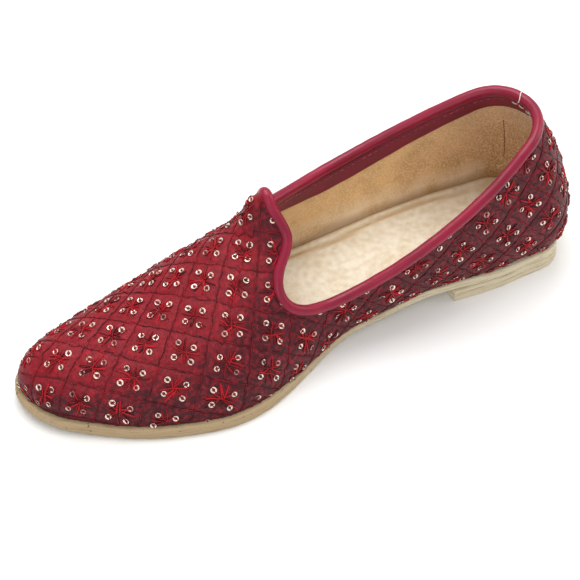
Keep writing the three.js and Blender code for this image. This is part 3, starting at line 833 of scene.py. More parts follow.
def tubes(centres, normals, radii, around):
    """Closed tubes along many paths of equal length.

    centres and normals are (paths, steps, 3), radii (paths, steps). A point stands at
    centre + r (cos t n + sin t b) with b across the path.
    """
    along = unit(np.gradient(centres, axis=1))
    across = unit(np.cross(along, normals))
    up = np.cross(across, along)
    points = centres[:, :, None] + circles(up, across, around) * radii[:, :, None, None]
    paths, steps = centres.shape[:2]
    first = (np.arange(paths) * steps * around)[:, None, None]
    wall = grid_faces(steps, around, closed_b=True)[None, :, ::-1] + first
    cap = np.arange(around)
    caps = np.stack([cap[::-1], cap + (steps - 1) * around])[None] + first
    return points.reshape(-1, 3), [wall.reshape(-1, 4), caps.reshape(-1, around)]


def edge_ring(skin, depth):
    """The upper's edge from the throat's tip round the lateral side and forwards on the medial side.

    Returns points at a depth under the skin with their outward and upward unit directions, where up is
    out x along.
    """
    first = VAMP_COLUMNS
    points = [skin.points[1][first:, -1], skin.points[-1][first + 1 : -1, -1][::-1]]
    normals = [skin.normals[1][first:, -1], skin.normals[-1][first + 1 : -1, -1][::-1]]
    outward = np.concatenate(normals)
    middle = np.concatenate(points) - outward * depth
    along = unit(np.roll(middle, -1, 0) - np.roll(middle, 1, 0))
    out = unit(outward - along * (outward * along).sum(-1, keepdims=True))
    return middle, out, unit(np.cross(out, along))


def soften(values, width):
    """A closed ring of vectors blurred with a bell curve of the given width in steps."""
    reach = int(3 * width)
    steps = np.arange(-reach, reach + 1)
    weight = np.exp(-0.5 * (steps / width) ** 2)
    weight /= weight.sum()
    return sum(w * np.roll(values, -k, axis=0) for w, k in zip(weight, steps))


def even_ring(values, at, number):
    """A closed ring of vectors resampled to even distances along the ring of points at."""
    walked = walk(np.concatenate([at, at[:1]]))
    wanted = np.linspace(0, walked[-1], number, endpoint=False)
    ring = np.concatenate([values, values[:1]])
    return np.stack([np.interp(wanted, walked, ring[:, k]) for k in range(ring.shape[1])], -1)


# Materials

STREAK = linear((0.78, 0.1, 0.18))
VELVET_SHADE = linear((0.62, 0.46, 0.27))
# Painted sheen: pale flecks where the velvet's nap catches the light
VELVET_NAP_SHEEN = linear((0.97, 0.86, 0.7))
VELVET_CUFF = linear((0.93, 0.87, 0.76))
# Painted shade in the crease just over the footbed
VELVET_CREASE_SHADE = linear((0.62, 0.47, 0.29))
SOCK_STAIN = linear((0.8, 0.68, 0.48))
SOCK_MESH = linear((0.66, 0.58, 0.44))
SOCK_DUST = linear((0.8, 0.72, 0.58))
SEQUIN_DIM = linear((0.68, 0.46, 0.43))
CREPE_LAYER = linear((0.5, 0.42, 0.3))
CREPE_SPECK = linear((0.3, 0.25, 0.18))
LEATHER_SHADE = 0.62  # the dark blotches as a share of the leather's colour
STITCH_SHADE = 0.45


class Look:
    """A principled material as it is built. Its colour is blended step by step."""

    def __init__(self, name, base, roughness, **sockets):
        self.material = bpy.data.materials.new(name)
        self.material.use_nodes = True
        self.tree = self.material.node_tree
        self.shader = self.tree.nodes["Principled BSDF"]
        self.shader.inputs["Roughness"].default_value = roughness
        self.shader.inputs["Base Color"].default_value = (*base, 1)
        for socket, value in sockets.items():
            self.shader.inputs[socket.replace("_", " ")].default_value = value
        self.colour = base

    @functools.cached_property
    def where(self):
        return self.add("ShaderNodeTexCoord", "Object")

    def add(self, kind, output=0, settings=None, **values):
        """One output of a new node, with input values or links by the sockets' names or i and a number."""
        node = self.tree.nodes.new(kind)
        for name, value in (settings or {}).items():
            setattr(node, name, value)
        for name, value in values.items():
            numbered = name[0] == "i" and name[1:].isdigit()
            socket = node.inputs[int(name[1:]) if numbered else name]
            if isinstance(value, bpy.types.NodeSocket):
                self.tree.links.new(value, socket)
            else:
                socket.default_value = value
        return node.outputs[output]

    def attribute(self, name):
        return self.add("ShaderNodeAttribute", "Fac", {"attribute_name": name})

    def noise(self, scale, detail=3.0, where=None):
        return self.add("ShaderNodeTexNoise", "Fac", Vector=where or self.where, Scale=scale, Detail=detail)

    def wave(self, where, way, **values):
        return self.add("ShaderNodeTexWave", "Fac", {"bands_direction": way}, Vector=where, **values)

    def sum(self, operation, a, b):
        return self.add("ShaderNodeMath", 0, {"operation": operation}, i0=a, i1=b)

    def ramp(self, value, low, high, top=1.0):
        """0 at low to top at high, level beyond both."""
        return self.add("ShaderNodeMapRange", "Result", i0=value, i1=low, i2=high, i4=top)

    def blend(self, factor, colour):
        """Blends the colour so far towards another one."""
        base = self.colour if isinstance(self.colour, bpy.types.NodeSocket) else (*self.colour, 1)
        self.colour = self.add(
            "ShaderNodeMix", 2, {"data_type": "RGBA"}, i0=factor, i6=base, i7=(*colour, 1)
        )
        self.tree.links.new(self.colour, self.shader.inputs["Base Color"])

    def bump(self, height, strength, distance):
        """Joins a height to the shader's normal; the distance is in metres."""
        made = self.add("ShaderNodeBump", "Normal", Height=height, Strength=strength, Distance=distance)
        self.tree.links.new(made, self.shader.inputs["Normal"])


def cloth_material(c):
    """Shot cloth with painted sheen: its lit colour where the 'tone' attribute is high and its shaded
    colour elsewhere, with a fine diagonal weave.
    """
    look = Look(
        "shot_cloth", c.dark, 0.5, Sheen_Weight=0.03, Sheen_Roughness=0.3, Specular_IOR_Level=0.25
    )
    chart = look.add("ShaderNodeTexCoord", "UV")
    weave = look.wave(chart, "DIAGONAL", Scale=0.55, Distortion=1.2, Detail=1.0)
    cross = look.wave(chart, "X", Scale=0.9)
    fleck = look.noise(scale=900.0)
    along = look.add("ShaderNodeMapping", Vector=chart, Scale=(0.5, 3.0, 1.0))
    # Painted sheen: from the shaded colour to the lit colour where the 'tone' attribute is high
    look.blend(look.attribute("tone"), c.light)
    look.blend(look.ramp(fleck, 0.4, 0.7, top=0.5), c.dark)
    look.blend(look.ramp(look.noise(1.3, 4.0, along), 0.4, 0.66, top=0.45), c.thread_dark)
    look.blend(look.ramp(look.noise(scale=460.0), 0.45, 0.8, top=0.45), STREAK)
    # Painted shade: darker towards the dark thread in the lattice's troughs and in each star's dimple
    look.blend(look.sum("MULTIPLY", look.attribute("fold"), 0.4), c.thread_dark)
    height = look.sum("ADD", weave, look.sum("MULTIPLY", cross, 0.5))
    look.bump(look.sum("ADD", height, fleck), strength=0.35, distance=0.0002)
    return look.material


def thread_material(name, light, dark):
    """Embroidery thread, its tone from the 'tone' attribute, with twisted strands."""
    look = Look(name, dark, 0.45, Specular_IOR_Level=0.3)
    look.blend(look.attribute("tone"), light)
    look.bump(look.noise(scale=2600.0), strength=0.4, distance=0.0001)
    return look.material


def velvet_material(finish):
    """Golden velvet, greyer and darker towards the heel, with a soft nap flecked with painted sheen, a pale
    cuff at the footbed and painted shade in the crease over it.
    """
    look = Look(
        "velvet", finish.lining, 0.85, Sheen_Weight=0.5, Sheen_Roughness=0.5, Specular_IOR_Level=0.15
    )
    along = look.add("ShaderNodeSeparateXYZ", "X", Vector=look.where)
    height = look.attribute("height")
    patch = look.ramp(look.noise(60.0, 5.0), 0.42, 0.68)
    nap = look.noise(scale=1100.0)
    cuff = look.sum("MULTIPLY", look.ramp(height, 11.0, 2.5, top=0.75), look.sum("SUBTRACT", 1.0, patch))
    # Darker and greyer towards the heel
    look.blend(look.ramp(along, 0.04, -0.03), finish.lining_back)
    look.blend(look.sum("MULTIPLY", patch, 0.5), VELVET_SHADE)
    # Painted sheen: pale flecks on the nap
    look.blend(look.ramp(nap, 0.42, 0.66, top=0.6), VELVET_NAP_SHEEN)
    look.blend(cuff, VELVET_CUFF)
    # Painted shade: darker within 3 mm over the footbed, in the crease
    look.blend(look.ramp(height, 3.0, 0.0, top=0.5), VELVET_CREASE_SHADE)
    look.bump(nap, strength=0.5, distance=0.0003)
    return look.material


def sock_material(finish):
    """Ivory woven textile with a fine mesh and soft stains, golden along its edge."""
    look = Look("sock", finish.sock, 0.8, Sheen_Weight=0.2, Sheen_Roughness=0.5, Specular_IOR_Level=0.2)
    rim = look.ramp(look.attribute("margin"), 2.4, 0.3)
    streak = look.sum("MAXIMUM", rim, look.attribute("crease"))
    mesh = look.sum("MULTIPLY", *[look.wave(look.where, way, Scale=330.0) for way in ("X", "Y")])
    dust = look.noise(scale=300.0)
    look.blend(look.sum("MULTIPLY", streak, look.ramp(look.noise(scale=70.0), 0.2, 0.5)), finish.sock_edge)
    look.blend(look.ramp(look.noise(75.0, 6.0), 0.4, 0.75, top=0.4), SOCK_STAIN)
    look.blend(look.sum("MULTIPLY", mesh, 0.2), SOCK_MESH)
    look.blend(look.ramp(dust, 0.4, 0.7, top=0.5), SOCK_DUST)
    look.bump(look.sum("ADD", mesh, dust), strength=0.4, distance=0.0002)
    return look.material


def leather_material(name, base, roughness):
    """Satin leatherette with a fine grain and soft blotches."""
    look = Look(name, base, roughness, Specular_IOR_Level=0.35, Coat_Weight=0.03)
    look.blend(look.ramp(look.noise(scale=55.0), 0.35, 0.75), tuple(v * LEATHER_SHADE for v in base))
    grain = look.add("ShaderNodeTexVoronoi", "Distance", Vector=look.where, Scale=1500.0)
    look.bump(look.sum("ADD", grain, look.noise(scale=500.0)), strength=0.16, distance=0.0001)
    return look.material


def sequin_material(c):
    """Pearl white plastic with a pink and gold tint, dim where the 'tone' attribute is low."""
    look = Look("sequin", SEQUIN_DIM, 0.16, Metallic=0.35, Specular_IOR_Level=0.7, Coat_Weight=0.4)
    look.blend(look.ramp(look.attribute("tone"), 0.02, 0.35), c.pearl)
    return look.material


def sole_material(name, finish):
    """Crepe sheet: beige under the forepart, paler at the heel, with layer lines and dark specks."""
    look = Look(name, finish.sole_heel, 0.85, Specular_IOR_Level=0.2)
    along = look.add("ShaderNodeSeparateXYZ", "X", Vector=look.where)
    toe = look.ramp(along, 0.05, 0.15)
    flat = look.add("ShaderNodeMapping", Vector=look.where, Scale=(60.0, 60.0, 1500.0))
    layers = look.noise(1.0, 2.0, flat)
    amount = look.sum("ADD", look.sum("MULTIPLY", toe, 0.7), 0.1)
    speck = look.ramp(look.noise(520.0, 1.0), 0.68, 0.76)
    look.blend(toe, finish.sole_fore)
    look.blend(look.ramp(layers, 0.5, 0.68, top=0.45), CREPE_LAYER)
    look.blend(look.sum("MULTIPLY", speck, amount), CREPE_SPECK)
    look.bump(look.sum("ADD", layers, look.noise(scale=900.0)), strength=0.6, distance=0.0003)
    return look.material


# Pieces

PAINTED_SHEEN_WAY = np.array([0.35, -0.12, 1.0])  # the way the cloth faces where its painted sheen is brightest
# ramp of the painted sheen, from the cloth's shaded colour to its lit colour
PAINTED_SHEEN_RAMP = (0.5, 0.95)
# Painted shade along the lattice's lines and round each star's middle, where the quilted cloth dips
LINE_SHADE = 0.35
LINE_SPREAD = 0.05  # shares of a cell
STAR_SPREAD = 0.13
STRIP_TOP = 1.2  # the facing starts this far below the edge, under the bead, in millimetres
STRIP_STEPS = 10
SEAM_DOWN = 3.4  # from the edge
SEAM_STITCH = 2.2
SEAM_PITCH = 3.2
SEAM_GROOVE = 0.22
SEAM_ARCH = 0.1  # how far a stitch's middle stands over its ends


class PieceOperator(bpy.types.Operator):
    """Base of the operators that build a piece."""

    bl_options = {"REGISTER", "UNDO"}


class MOJARI_OT_cloth(PieceOperator):
    """Builds the upper's outer cloth, quilted by its stitches"""

    bl_idname = "mojari.cloth"
    bl_label = "Cloth"

    def execute(self, context):
        skin = current_skin()
        ids = weld(COLUMNS, ROWS, VAMP_COLUMNS, True)
        total = 2 * ids[1].size
        points = np.zeros((total, 3))
        tone = np.zeros(total)
        fold = np.zeros(total)
        uv = np.zeros((total, 2))
        faces = []
        for side in SIDES:
            lift = quilt(skin, side)
            points[ids[side]] = skin.points[side] + skin.normals[side] * lift[..., None]
            # Painted sheen: tone is high, painting the cloth its lit colour, where the normal faces up
            # towards the light, and low on the sides
            painted_sheen = skin.normals[side] @ PAINTED_SHEEN_WAY + 0.05 * ripple(skin.points[side], 24, 11)
            tone[ids[side]] = smooth(*PAINTED_SHEEN_RAMP, painted_sheen + 0.11 * ripple(skin.points[side], 6, 12))
            cell = skin.lattice[side]
            r, s, to_line = in_cell(cell)
            # Painted shade: darker along the lattice's troughs and in each star's dimpled middle
            line = LINE_SHADE * np.exp(-((to_line / LINE_SPREAD) ** 2))
            fold[ids[side]] = np.maximum(line, np.exp(-((np.hypot(r, s) / STAR_SPREAD) ** 2)))
            uv[ids[side]] = np.stack([cell.real, cell.imag], -1) * skin.c.cell
            faces.append(quads(ids[side], side < 0))
        faces = np.concatenate(faces)
        layers = {"tone": tone, "fold": fold}
        make("upper_cloth", points, faces, cloth_material(skin.c), "upper_cloth", ("upper",), layers, uv)
        return {"FINISHED"}


class MOJARI_OT_lining(PieceOperator):
    """Builds the velvet lining inside the upper"""

    bl_idname = "mojari.lining"
    bl_label = "Lining"

    def execute(self, context):
        skin = current_skin()
        step = 2
        ids = weld(COLUMNS // step, ROWS // step, VAMP_COLUMNS // step, True)
        points = np.zeros((2 * ids[1].size, 3))
        height = np.zeros(len(points))
        faces = []
        for side in SIDES:
            normal = skin.normals[side][::step, ::step].copy()
            normal[:, 0] = unit(normal[:, 0] * np.array([1.0, 1.0, 0.0]))
            inner = skin.points[side][::step, ::step] - normal * skin.f.wall
            inner = inner + normal * (0.2 * ripple(inner, 26, 21)[..., None] - 0.1)
            points[ids[side]] = inner
            # Height over the footbed, for the pale cuff and for the painted shade in the crease
            floor = skin.last.top_z(skin.last.share_at(inner[..., 0]))
            over = inner[..., 2] - floor - skin.f.gap - skin.f.insole_thickness
            height[ids[side]] = over + 0.8 * ripple(inner, 26, 22) + 0.2 * ripple(inner, 6, 23)
            faces.append(quads(ids[side], side > 0))
        finish = context.scene.mojari_finish
        velvet = velvet_material(finish)
        make("lining", points, np.concatenate(faces), velvet, "upper_cloth", (), {"height": height})
        return {"FINISHED"}


class MOJARI_OT_feather(PieceOperator):
    """Builds the cloth's ragged lower edge, turned in on the sole"""

    bl_idname = "mojari.feather"
    bl_label = "Feather edge"
    steps = 900
    around = 8
    radius = 0.62
    sit = 0.35

    def execute(self, context):
        skin = current_skin()
        points = np.concatenate([skin.points[1][:, 0], skin.points[-1][1:-1, 0][::-1]])
        normals = np.concatenate([skin.normals[1][:, 0], skin.normals[-1][1:-1, 0][::-1]])
        level = unit(normals * np.array([1.0, 1.0, 0.0]))
        even = even_ring(np.concatenate([points, level], 1), points, self.steps)
        points, level = even[:, :3], unit(even[:, 3:])
        rough = 1 + 0.4 * ripple(points * np.array([1, 1, 0]), 3.2, 31)
        up = np.array([0, 0, 1.0])
        centre = points + self.sit * (up - level)
        rope = centre[:, None] + circles(level, up, self.around) * (self.radius * rough)[:, None, None]
        tone = np.repeat(0.5 + 0.5 * ripple(points, 4, 32), self.around)
        faces = grid_faces(self.steps, self.around, True, True)
        cloth = skin.c
        # Painted shade: the edge takes the cloth's shaded colour, from its sides, as its lighter tone
        made = thread_material("feather_edge", cloth.dark, cloth.thread_dark)
        make("feather_edge", rope.reshape(-1, 3), faces, made, "upper_cloth", (), {"tone": tone})
        return {"FINISHED"}


# Stitches: shares of a cell, if nothing else is said
LINE_WOBBLE = 0.02
END_WOBBLE = 0.4  # the ends' wobble as a share of the line's
LINE_ZIG = 0.016
LINE_OVER = 0.035  # each stitch overlaps the next by twice this
STAR_TURN = 0.16  # radians
STAR_REACH = (0.6, 1.12)  # shares of the stars' reach
STAR_ROOT = 0.06
STAR_MISS = 0.03
SEQUIN_MISS = 0.014


def lattice_stitches(skin):
    """Lattice coordinates of the two ends of every running stitch of the square lattice."""
    cells = lattice_cells(skin)
    number = LINE_STITCHES
    k = (np.arange(number) - number / 2) / number
    wobble = np.random.default_rng(41).normal(0, LINE_WOBBLE, (2, 2, len(cells), number))
    zig = LINE_ZIG * np.where(np.arange(number) % 2, 1, -1)
    ends = []
    for way in (0, 1):
        start = k - LINE_OVER + wobble[way, 0] * END_WOBBLE
        stop = k + 1 / number + LINE_OVER + wobble[way, 1] * END_WOBBLE
        low = -0.5 + zig + wobble[way, 0]
        high = -0.5 - zig + wobble[way, 1]
        a = start + 1j * low if way else low + 1j * start
        b = stop + 1j * high if way else high + 1j * stop
        ends.append(np.stack([cells[:, None] + a, cells[:, None] + b], -1).reshape(-1, 2))
    return np.concatenate(ends)


def star_stitches(skin):
    """Lattice coordinates of the two ends of every stitch of the stars, long threads from the middle."""
    c = skin.c
    cells = lattice_cells(skin)
    random = np.random.default_rng(42)
    shape = (len(cells), c.star_stitches)
    way = (np.arange(c.star_stitches) + 0.5) * 2 * np.pi / c.star_stitches
    way = way + random.normal(0, STAR_TURN, shape)
    reach = c.star_reach / c.cell * random.uniform(*STAR_REACH, shape)
    root = STAR_ROOT * random.uniform(-1, 1, shape) + 1j * STAR_ROOT * random.uniform(-1, 1, shape)
    middle = cells[:, None] + STAR_MISS * random.normal(size=shape) + root
    return np.stack([middle, cells[:, None] + reach * np.exp(1j * way)], -1).reshape(-1, 2)


def sequin_places(skin):
    """Lattice coordinates of the sequins: four in a square round each star."""
    c = skin.c
    cells = lattice_cells(skin)
    corners = c.sequin_place * np.array([1 + 1j, 1 - 1j, -1 + 1j, -1 - 1j])
    random = np.random.default_rng(43)
    miss = [random.normal(0, SEQUIN_MISS, (len(cells), 4)) for _ in "xy"]
    return (cells[:, None] + corners + (miss[0] + 1j * miss[1])).ravel()


def threads(skin, ends, steps, thickness, arch, seed):
    """Stitches as thin tubes over the cloth: paths from end to end that arch up by sin(pi s).

    Stitches that leave the cloth are dropped. Returns points, faces and a tone for each point.
    """
    s = np.linspace(0, 1, steps)
    wanted = ends[:, :1] + (ends[:, 1:] - ends[:, :1]) * s
    found, place, normal, _ = surface_at(skin, wanted.ravel(), 0.0)
    whole = found.reshape(wanted.shape).all(1)
    place = place.reshape(*wanted.shape, 3)[whole]
    normal = normal.reshape(*wanted.shape, 3)[whole]
    lift = thickness * 0.22 + arch * np.sin(np.pi * s)
    place = place + normal * lift[None, :, None]
    random = np.random.default_rng(seed)
    swell = 0.55 + 0.45 * np.sin(np.pi * s) ** 0.5
    radius = thickness / 2 * swell * random.uniform(0.8, 1.15, (len(place), 1))
    points, faces = tubes(place, normal, radius, 4)
    return points, faces, np.repeat(random.uniform(0, 1, len(place)), steps * 4)


class MOJARI_OT_lattice(PieceOperator):
    """Builds the running stitches of the square lattice"""

    bl_idname = "mojari.lattice"
    bl_label = "Lattice stitches"

    def execute(self, context):
        skin = current_skin()
        c = skin.c
        points, faces, tone = threads(skin, lattice_stitches(skin), 5, c.line_width, 0.12, 51)
        material = thread_material("lattice_thread", c.line_light, c.thread_dark)
        make("lattice_stitches", points, faces, material, "upper_cloth", (), {"tone": tone})
        return {"FINISHED"}


class MOJARI_OT_stars(PieceOperator):
    """Builds the loose stitched star in each square of the lattice"""

    bl_idname = "mojari.stars"
    bl_label = "Stars"

    def execute(self, context):
        skin = current_skin()
        c = skin.c
        points, faces, tone = threads(skin, star_stitches(skin), 7, c.star_width, 0.1, 52)
        material = thread_material("star_thread", c.thread_light, c.thread_dark)
        make("star_stitches", points, faces, material, "upper_cloth", (), {"tone": tone})
        return {"FINISHED"}


class MOJARI_OT_sequins(PieceOperator):
    """Builds the sequins, four round each star, and the stitch that crosses each"""

    bl_idname = "mojari.sequins"
    bl_label = "Sequins"
    around = 16
    lift = 0.15
    tilt = 0.14
    thread = 0.23  # the crossing stitch's radius
    crossing = (0.9, 0.25)  # its angle to the rows and the spread of that, in radians
    overhang = 1.18  # its reach as a share of the sequin's radius
    crown = 0.42  # its height over the cloth at the middle
    drop = 0.5  # and how far its ends go down
    thread_steps = 6
    thread_around = 5

    def execute(self, context):
        skin = current_skin()
        c = skin.c
        found, place, normal, row_way = surface_at(skin, sequin_places(skin), self.lift)
        place, normal = place[found], normal[found]
        random = np.random.default_rng(44)
        tilt = self.tilt * random.normal(size=(2, len(place), 1))
        a = unit(row_way[found])
        b = unit(np.cross(normal, a))
        n = unit(normal + tilt[0] * a + tilt[1] * b)
        a = unit(np.cross(b, n))
        b = np.cross(n, a)
        half = c.sequin_diameter / 2 * random.uniform(0.9, 1.06, len(place))
        # Columns: share of the radius from the hole to the rim, height over the cloth in millimetres
        section = [(0, 0.12), (0.1, 0.02), (0.55, 0.1), (0.93, 0.34), (1, 0.3), (0.9, 0.22), (0.5, 0.0)]
        section = np.array(section)
        r = c.sequin_hole + (1 - c.sequin_hole) * section[:, 0]
        rings = circles(a, b, self.around)[:, :, None] * (half[:, None, None] * r)[..., None]
        points = place[:, None, None] + rings + n[:, None, None] * section[None, None, :, 1:]
        count_each = self.around * len(section)
        one = grid_faces(self.around, len(section), True, True)
        faces = one[None] + (np.arange(len(place)) * count_each)[:, None, None]
        tone = np.repeat(random.uniform(0, 1, len(place)), count_each)
        faces = faces.reshape(-1, 4)[:, ::-1]
        pearl = sequin_material(c)
        make("sequins", points.reshape(-1, 3), faces, pearl, "upper_cloth", (), {"tone": tone})
        s = np.linspace(-1, 1, self.thread_steps)
        way = self.crossing[0] + self.crossing[1] * random.normal(size=(len(place), 1))
        across = np.cos(way) * a + np.sin(way) * b
        reach = s[None, :, None] * half[:, None, None] * self.overhang
        path = place[:, None] + across[:, None] * reach
        path = path + n[:, None] * (self.crown - self.drop * s**4)[None, :, None]
        normals = np.broadcast_to(n[:, None], path.shape)
        tube, faces = tubes(path, normals, np.full(path.shape[:2], self.thread), self.thread_around)
        tone = np.repeat(random.uniform(0, 0.5, len(place)), self.thread_steps * self.thread_around)
        material = thread_material("sequin_thread", c.thread_light, c.thread_dark)
        make("sequin_stitches", tube, faces, material, "upper_cloth", (), {"tone": tone})
        return {"FINISHED"}


class MOJARI_OT_binding(PieceOperator):
    """Builds the rolled binding round the topline"""

    bl_idname = "mojari.binding"
    bl_label = "Binding"
    steps = 560
    around = 28

    def execute(self, context):
        skin = current_skin()
        f = skin.f
        radius = f.bead_diameter / 2
        middle, out, up = edge_ring(skin, f.wall / 2)
        even = even_ring(np.concatenate([middle, out, up], 1), middle, self.steps)
        even = soften(even, 2.2)
        out, up = unit(even[:, 3:6]), unit(even[:, 6:])
        centre = even[:, :3] + up * f.bead_sit * radius
        t = turns_of(self.around)
        ring = circles(up, out, self.around)
        # A fuller flank on each side, where the leather runs down to its seam
        flank = 1 + 0.05 * np.maximum(0, -np.cos(t)) * np.abs(np.sin(t))
        points = centre[:, None] + ring * (radius * flank)[None, :, None]
        points = points + ring * (0.06 * ripple(points, 9, 61) + 0.03 * ripple(points, 2.6, 62))[..., None]
        faces = grid_faces(self.steps, self.around, True, True)
        leather = leather_material("bead_leather", context.scene.mojari_finish.binding, 0.36)
        made = points.reshape(-1, 3), faces[:, ::-1]
        make("binding_bead", *made, leather, "binding", ("topline_binding",))
        return {"FINISHED"}


def inside_strip(skin, side, down, depth, first):
    """Points inside one quarter: each column's point at distances down from the edge, under the skin.

    down has shape (k,) or (columns, k) and depth is one number or of shape (k,), in millimetres.
    """
    columns = slice(first, None)
    p = skin.points[side][columns, ::-1]
    n = skin.normals[side][columns, ::-1]
    steps = np.linalg.norm(np.diff(p, axis=1), axis=-1)
    walked = np.concatenate([np.zeros((len(p), 1)), np.cumsum(steps, 1)], 1)
    down = np.broadcast_to(down, (len(p), np.shape(down)[-1]))
    k = (walked[:, None, :] <= down[..., None]).sum(-1) - 1
    k = np.clip(k, 0, p.shape[1] - 2)
    i = np.arange(len(p))[:, None]
    share_of = ((down - walked[i, k]) / (walked[i, k + 1] - walked[i, k]))[..., None]
    place = p[i, k] * (1 - share_of) + p[i, k + 1] * share_of
    normal = unit(n[i, k] * (1 - share_of) + n[i, k + 1] * share_of)
    return place - normal * np.broadcast_to(depth, down.shape)[..., None], normal


class MOJARI_OT_facings(PieceOperator):
    """Builds the binding's inner strips with their seam stitches"""

    bl_idname = "mojari.facings"
    bl_label = "Facings"

    def execute(self, context):
        skin = current_skin()
        f = skin.f
        finish = context.scene.mojari_finish
        first = VAMP_COLUMNS + THROAT_COLUMNS - 6
        near = f.wall + f.gap
        far = near + f.facing_thickness
        low = STRIP_TOP + f.facing_width
        # Columns: distance down from the edge, depth under the skin, in millimetres
        steps = range(STRIP_STEPS + 1)
        face = [(STRIP_TOP + f.facing_width * k / STRIP_STEPS, far + 0.1) for k in steps]
        lower = [(low + 0.3, (near + far) / 2), (low, near), (STRIP_TOP + f.facing_width / 2, near)]
        section = np.array([(STRIP_TOP, near)] + face + lower)
        stitches = []
        for side, name in ((1, "facing_lateral"), (-1, "facing_medial")):
            points, normals = inside_strip(skin, side, section[:, 0], section[:, 1], first)
            groove = SEAM_GROOVE * np.exp(-(((section[:, 0] - SEAM_DOWN) / 0.5) ** 2))
            wave = 0.14 * ripple(points, 12, 71) - groove
            points = points - normals * (wave * (section[:, 1] >= far))[..., None]
            stop = 1 - f.facing_back_gap / 2 / np.linalg.norm(points[-1, 0] - points[-2, 0])
            points[-1] = points[-2] + (points[-1] - points[-2]) * max(stop, 0.3)
            columns, rows = points.shape[:2]
            faces = grid_faces(columns, rows, False, True)
            caps = np.arange(rows)
            ends = np.stack([caps, caps[::-1] + (columns - 1) * rows])
            if side < 0:
                faces, ends = faces[:, ::-1], ends[:, ::-1]
            leather = leather_material(name + "_leather", finish.facing, 0.42)
            make(name + "_strip", points.reshape(-1, 3), [faces, ends], leather, "facing", (name,))
            stitches.append(self.seam(skin, side, first, far + 0.12))
        paths = np.concatenate([s[0] for s in stitches])
        normals = np.concatenate([s[1] for s in stitches])
        s = np.linspace(0, 1, paths.shape[1])
        radius = np.broadcast_to(0.24 * np.sin(np.pi * (0.12 + 0.76 * s)), paths.shape[:2])
        points, faces = tubes(paths, normals, radius, 6)
        tone = np.repeat(np.random.default_rng(72).uniform(0, 1, len(paths)), paths.shape[1] * 6)
        dull = tuple(STITCH_SHADE * v for v in finish.stitch)
        material = thread_material("facing_thread", finish.stitch, dull)
        make("facing_stitches", points, faces, material, "facing", (), {"tone": tone})
        return {"FINISHED"}

    def seam(self, skin, side, first, depth):
        """Paths and normals of a row of stitches at one distance below the edge."""
        line, normal = inside_strip(skin, side, np.array([SEAM_DOWN]), depth, first)
        line, normal = line[:, 0], normal[:, 0]
        walked = walk(line)
        starts = np.arange(1.0, walked[-1] - SEAM_PITCH - 0.2, SEAM_PITCH)
        s = np.linspace(0, 1, 5)
        wanted = starts[:, None] + SEAM_STITCH * s
        path = np.stack([np.interp(wanted, walked, line[:, k]) for k in range(3)], -1)
        out = unit(np.stack([np.interp(wanted, walked, normal[:, k]) for k in range(3)], -1))
        return path - out * (SEAM_ARCH * (np.sin(np.pi * s) - 0.5))[None, :, None], -out


class MOJARI_OT_heel_seam(PieceOperator):
    """Builds the white hand stitches and the thread loop at the back, and the lining's seam thread"""

    bl_idname = "mojari.heel_seam"
    bl_label = "Heel seam"
    loop_steps = 30

    def execute(self, context):
        skin = current_skin()
        f = skin.f
        depth = f.wall + f.gap + f.facing_thickness + 0.35
        # Columns: side, columns from the back, distance down from the edge, twice: a stitch's two ends
        rows = [
            (-1, 9, 3.0, -1, 7, 3.6),
            (-1, 6, 3.8, -1, 4, 4.6),
            (-1, 3, 5.2, -1, 2, 7.2),
            (-1, 2, 8.4, -1, 1, 10.4),
            (-1, 1, 3.2, 1, 2, 2.8),
            (1, 1, 11.6, 1, 1, 14.0),
            (1, 3, 3.0, 1, 5, 3.4),
            (1, 1, 16.0, 1, 1, 18.4),
        ]
        ends = [[self.inside(skin, r[k], r[k + 1], r[k + 2], depth) for k in (0, 3)] for r in rows]
        s = np.linspace(0, 1, 6)
        a = np.array([[e[0][0], e[1][0]] for e in ends])
        n = np.array([unit(e[0][1] + e[1][1]) for e in ends])
        paths = a[:, :1] * (1 - s)[None, :, None] + a[:, 1:] * s[None, :, None]
        paths = paths - n[:, None] * (0.25 * np.sin(np.pi * s))[None, :, None]
        normals = np.broadcast_to(-n[:, None], paths.shape)
        points, faces = tubes(paths, normals, np.full(paths.shape[:2], 0.26), 8)
        white = thread_material("white_thread", (0.85, 0.8, 0.74), (0.6, 0.5, 0.45))
        make("heel_stitches", points, faces, white, "facing", (), {"tone": np.full(len(points), 0.8)})
        middle, out, up = edge_ring(skin, f.wall / 2)
        k = QUARTER_COLUMNS + THROAT_COLUMNS + 5
        radius = f.bead_diameter / 2 + 0.18
        turns = np.linspace(0.3 * np.pi, 1.95 * np.pi, self.loop_steps)
        centre = middle[k] + up[k] * f.bead_sit * f.bead_diameter / 2
        along = unit(middle[k + 1] - middle[k - 1])
        loop = centre + radius * (np.cos(turns)[:, None] * out[k] + np.sin(turns)[:, None] * up[k])
        loop = loop + along * (0.8 * np.sin(2 * turns))[:, None]
        normals = unit(loop - centre)
        points, faces = tubes(loop[None], normals[None], np.full((1, len(loop)), 0.24), 8)
        make("heel_thread_loop", points, faces, white, "binding", (), {"tone": np.full(len(points), 0.8)})
        down = np.linspace(29.0, 60.0, self.loop_steps)
        place, normal = inside_strip(skin, -1, down, f.wall + 0.3, COLUMNS - 15)
        points, faces = tubes(place[:1], -normal[:1], np.full((1, len(down)), 0.17), 8)
        red = thread_material("lining_thread", (0.3, 0.03, 0.03), (0.2, 0.02, 0.02))
        make("lining_thread", points, faces, red, "upper_cloth", (), {"tone": np.full(len(points), 0.6)})
        return {"FINISHED"}

    def inside(self, skin, side, from_back, down, depth):
        place, normal = inside_strip(skin, side, np.array([down]), depth, COLUMNS - from_back)
        return place[0, 0], normal[0, 0]


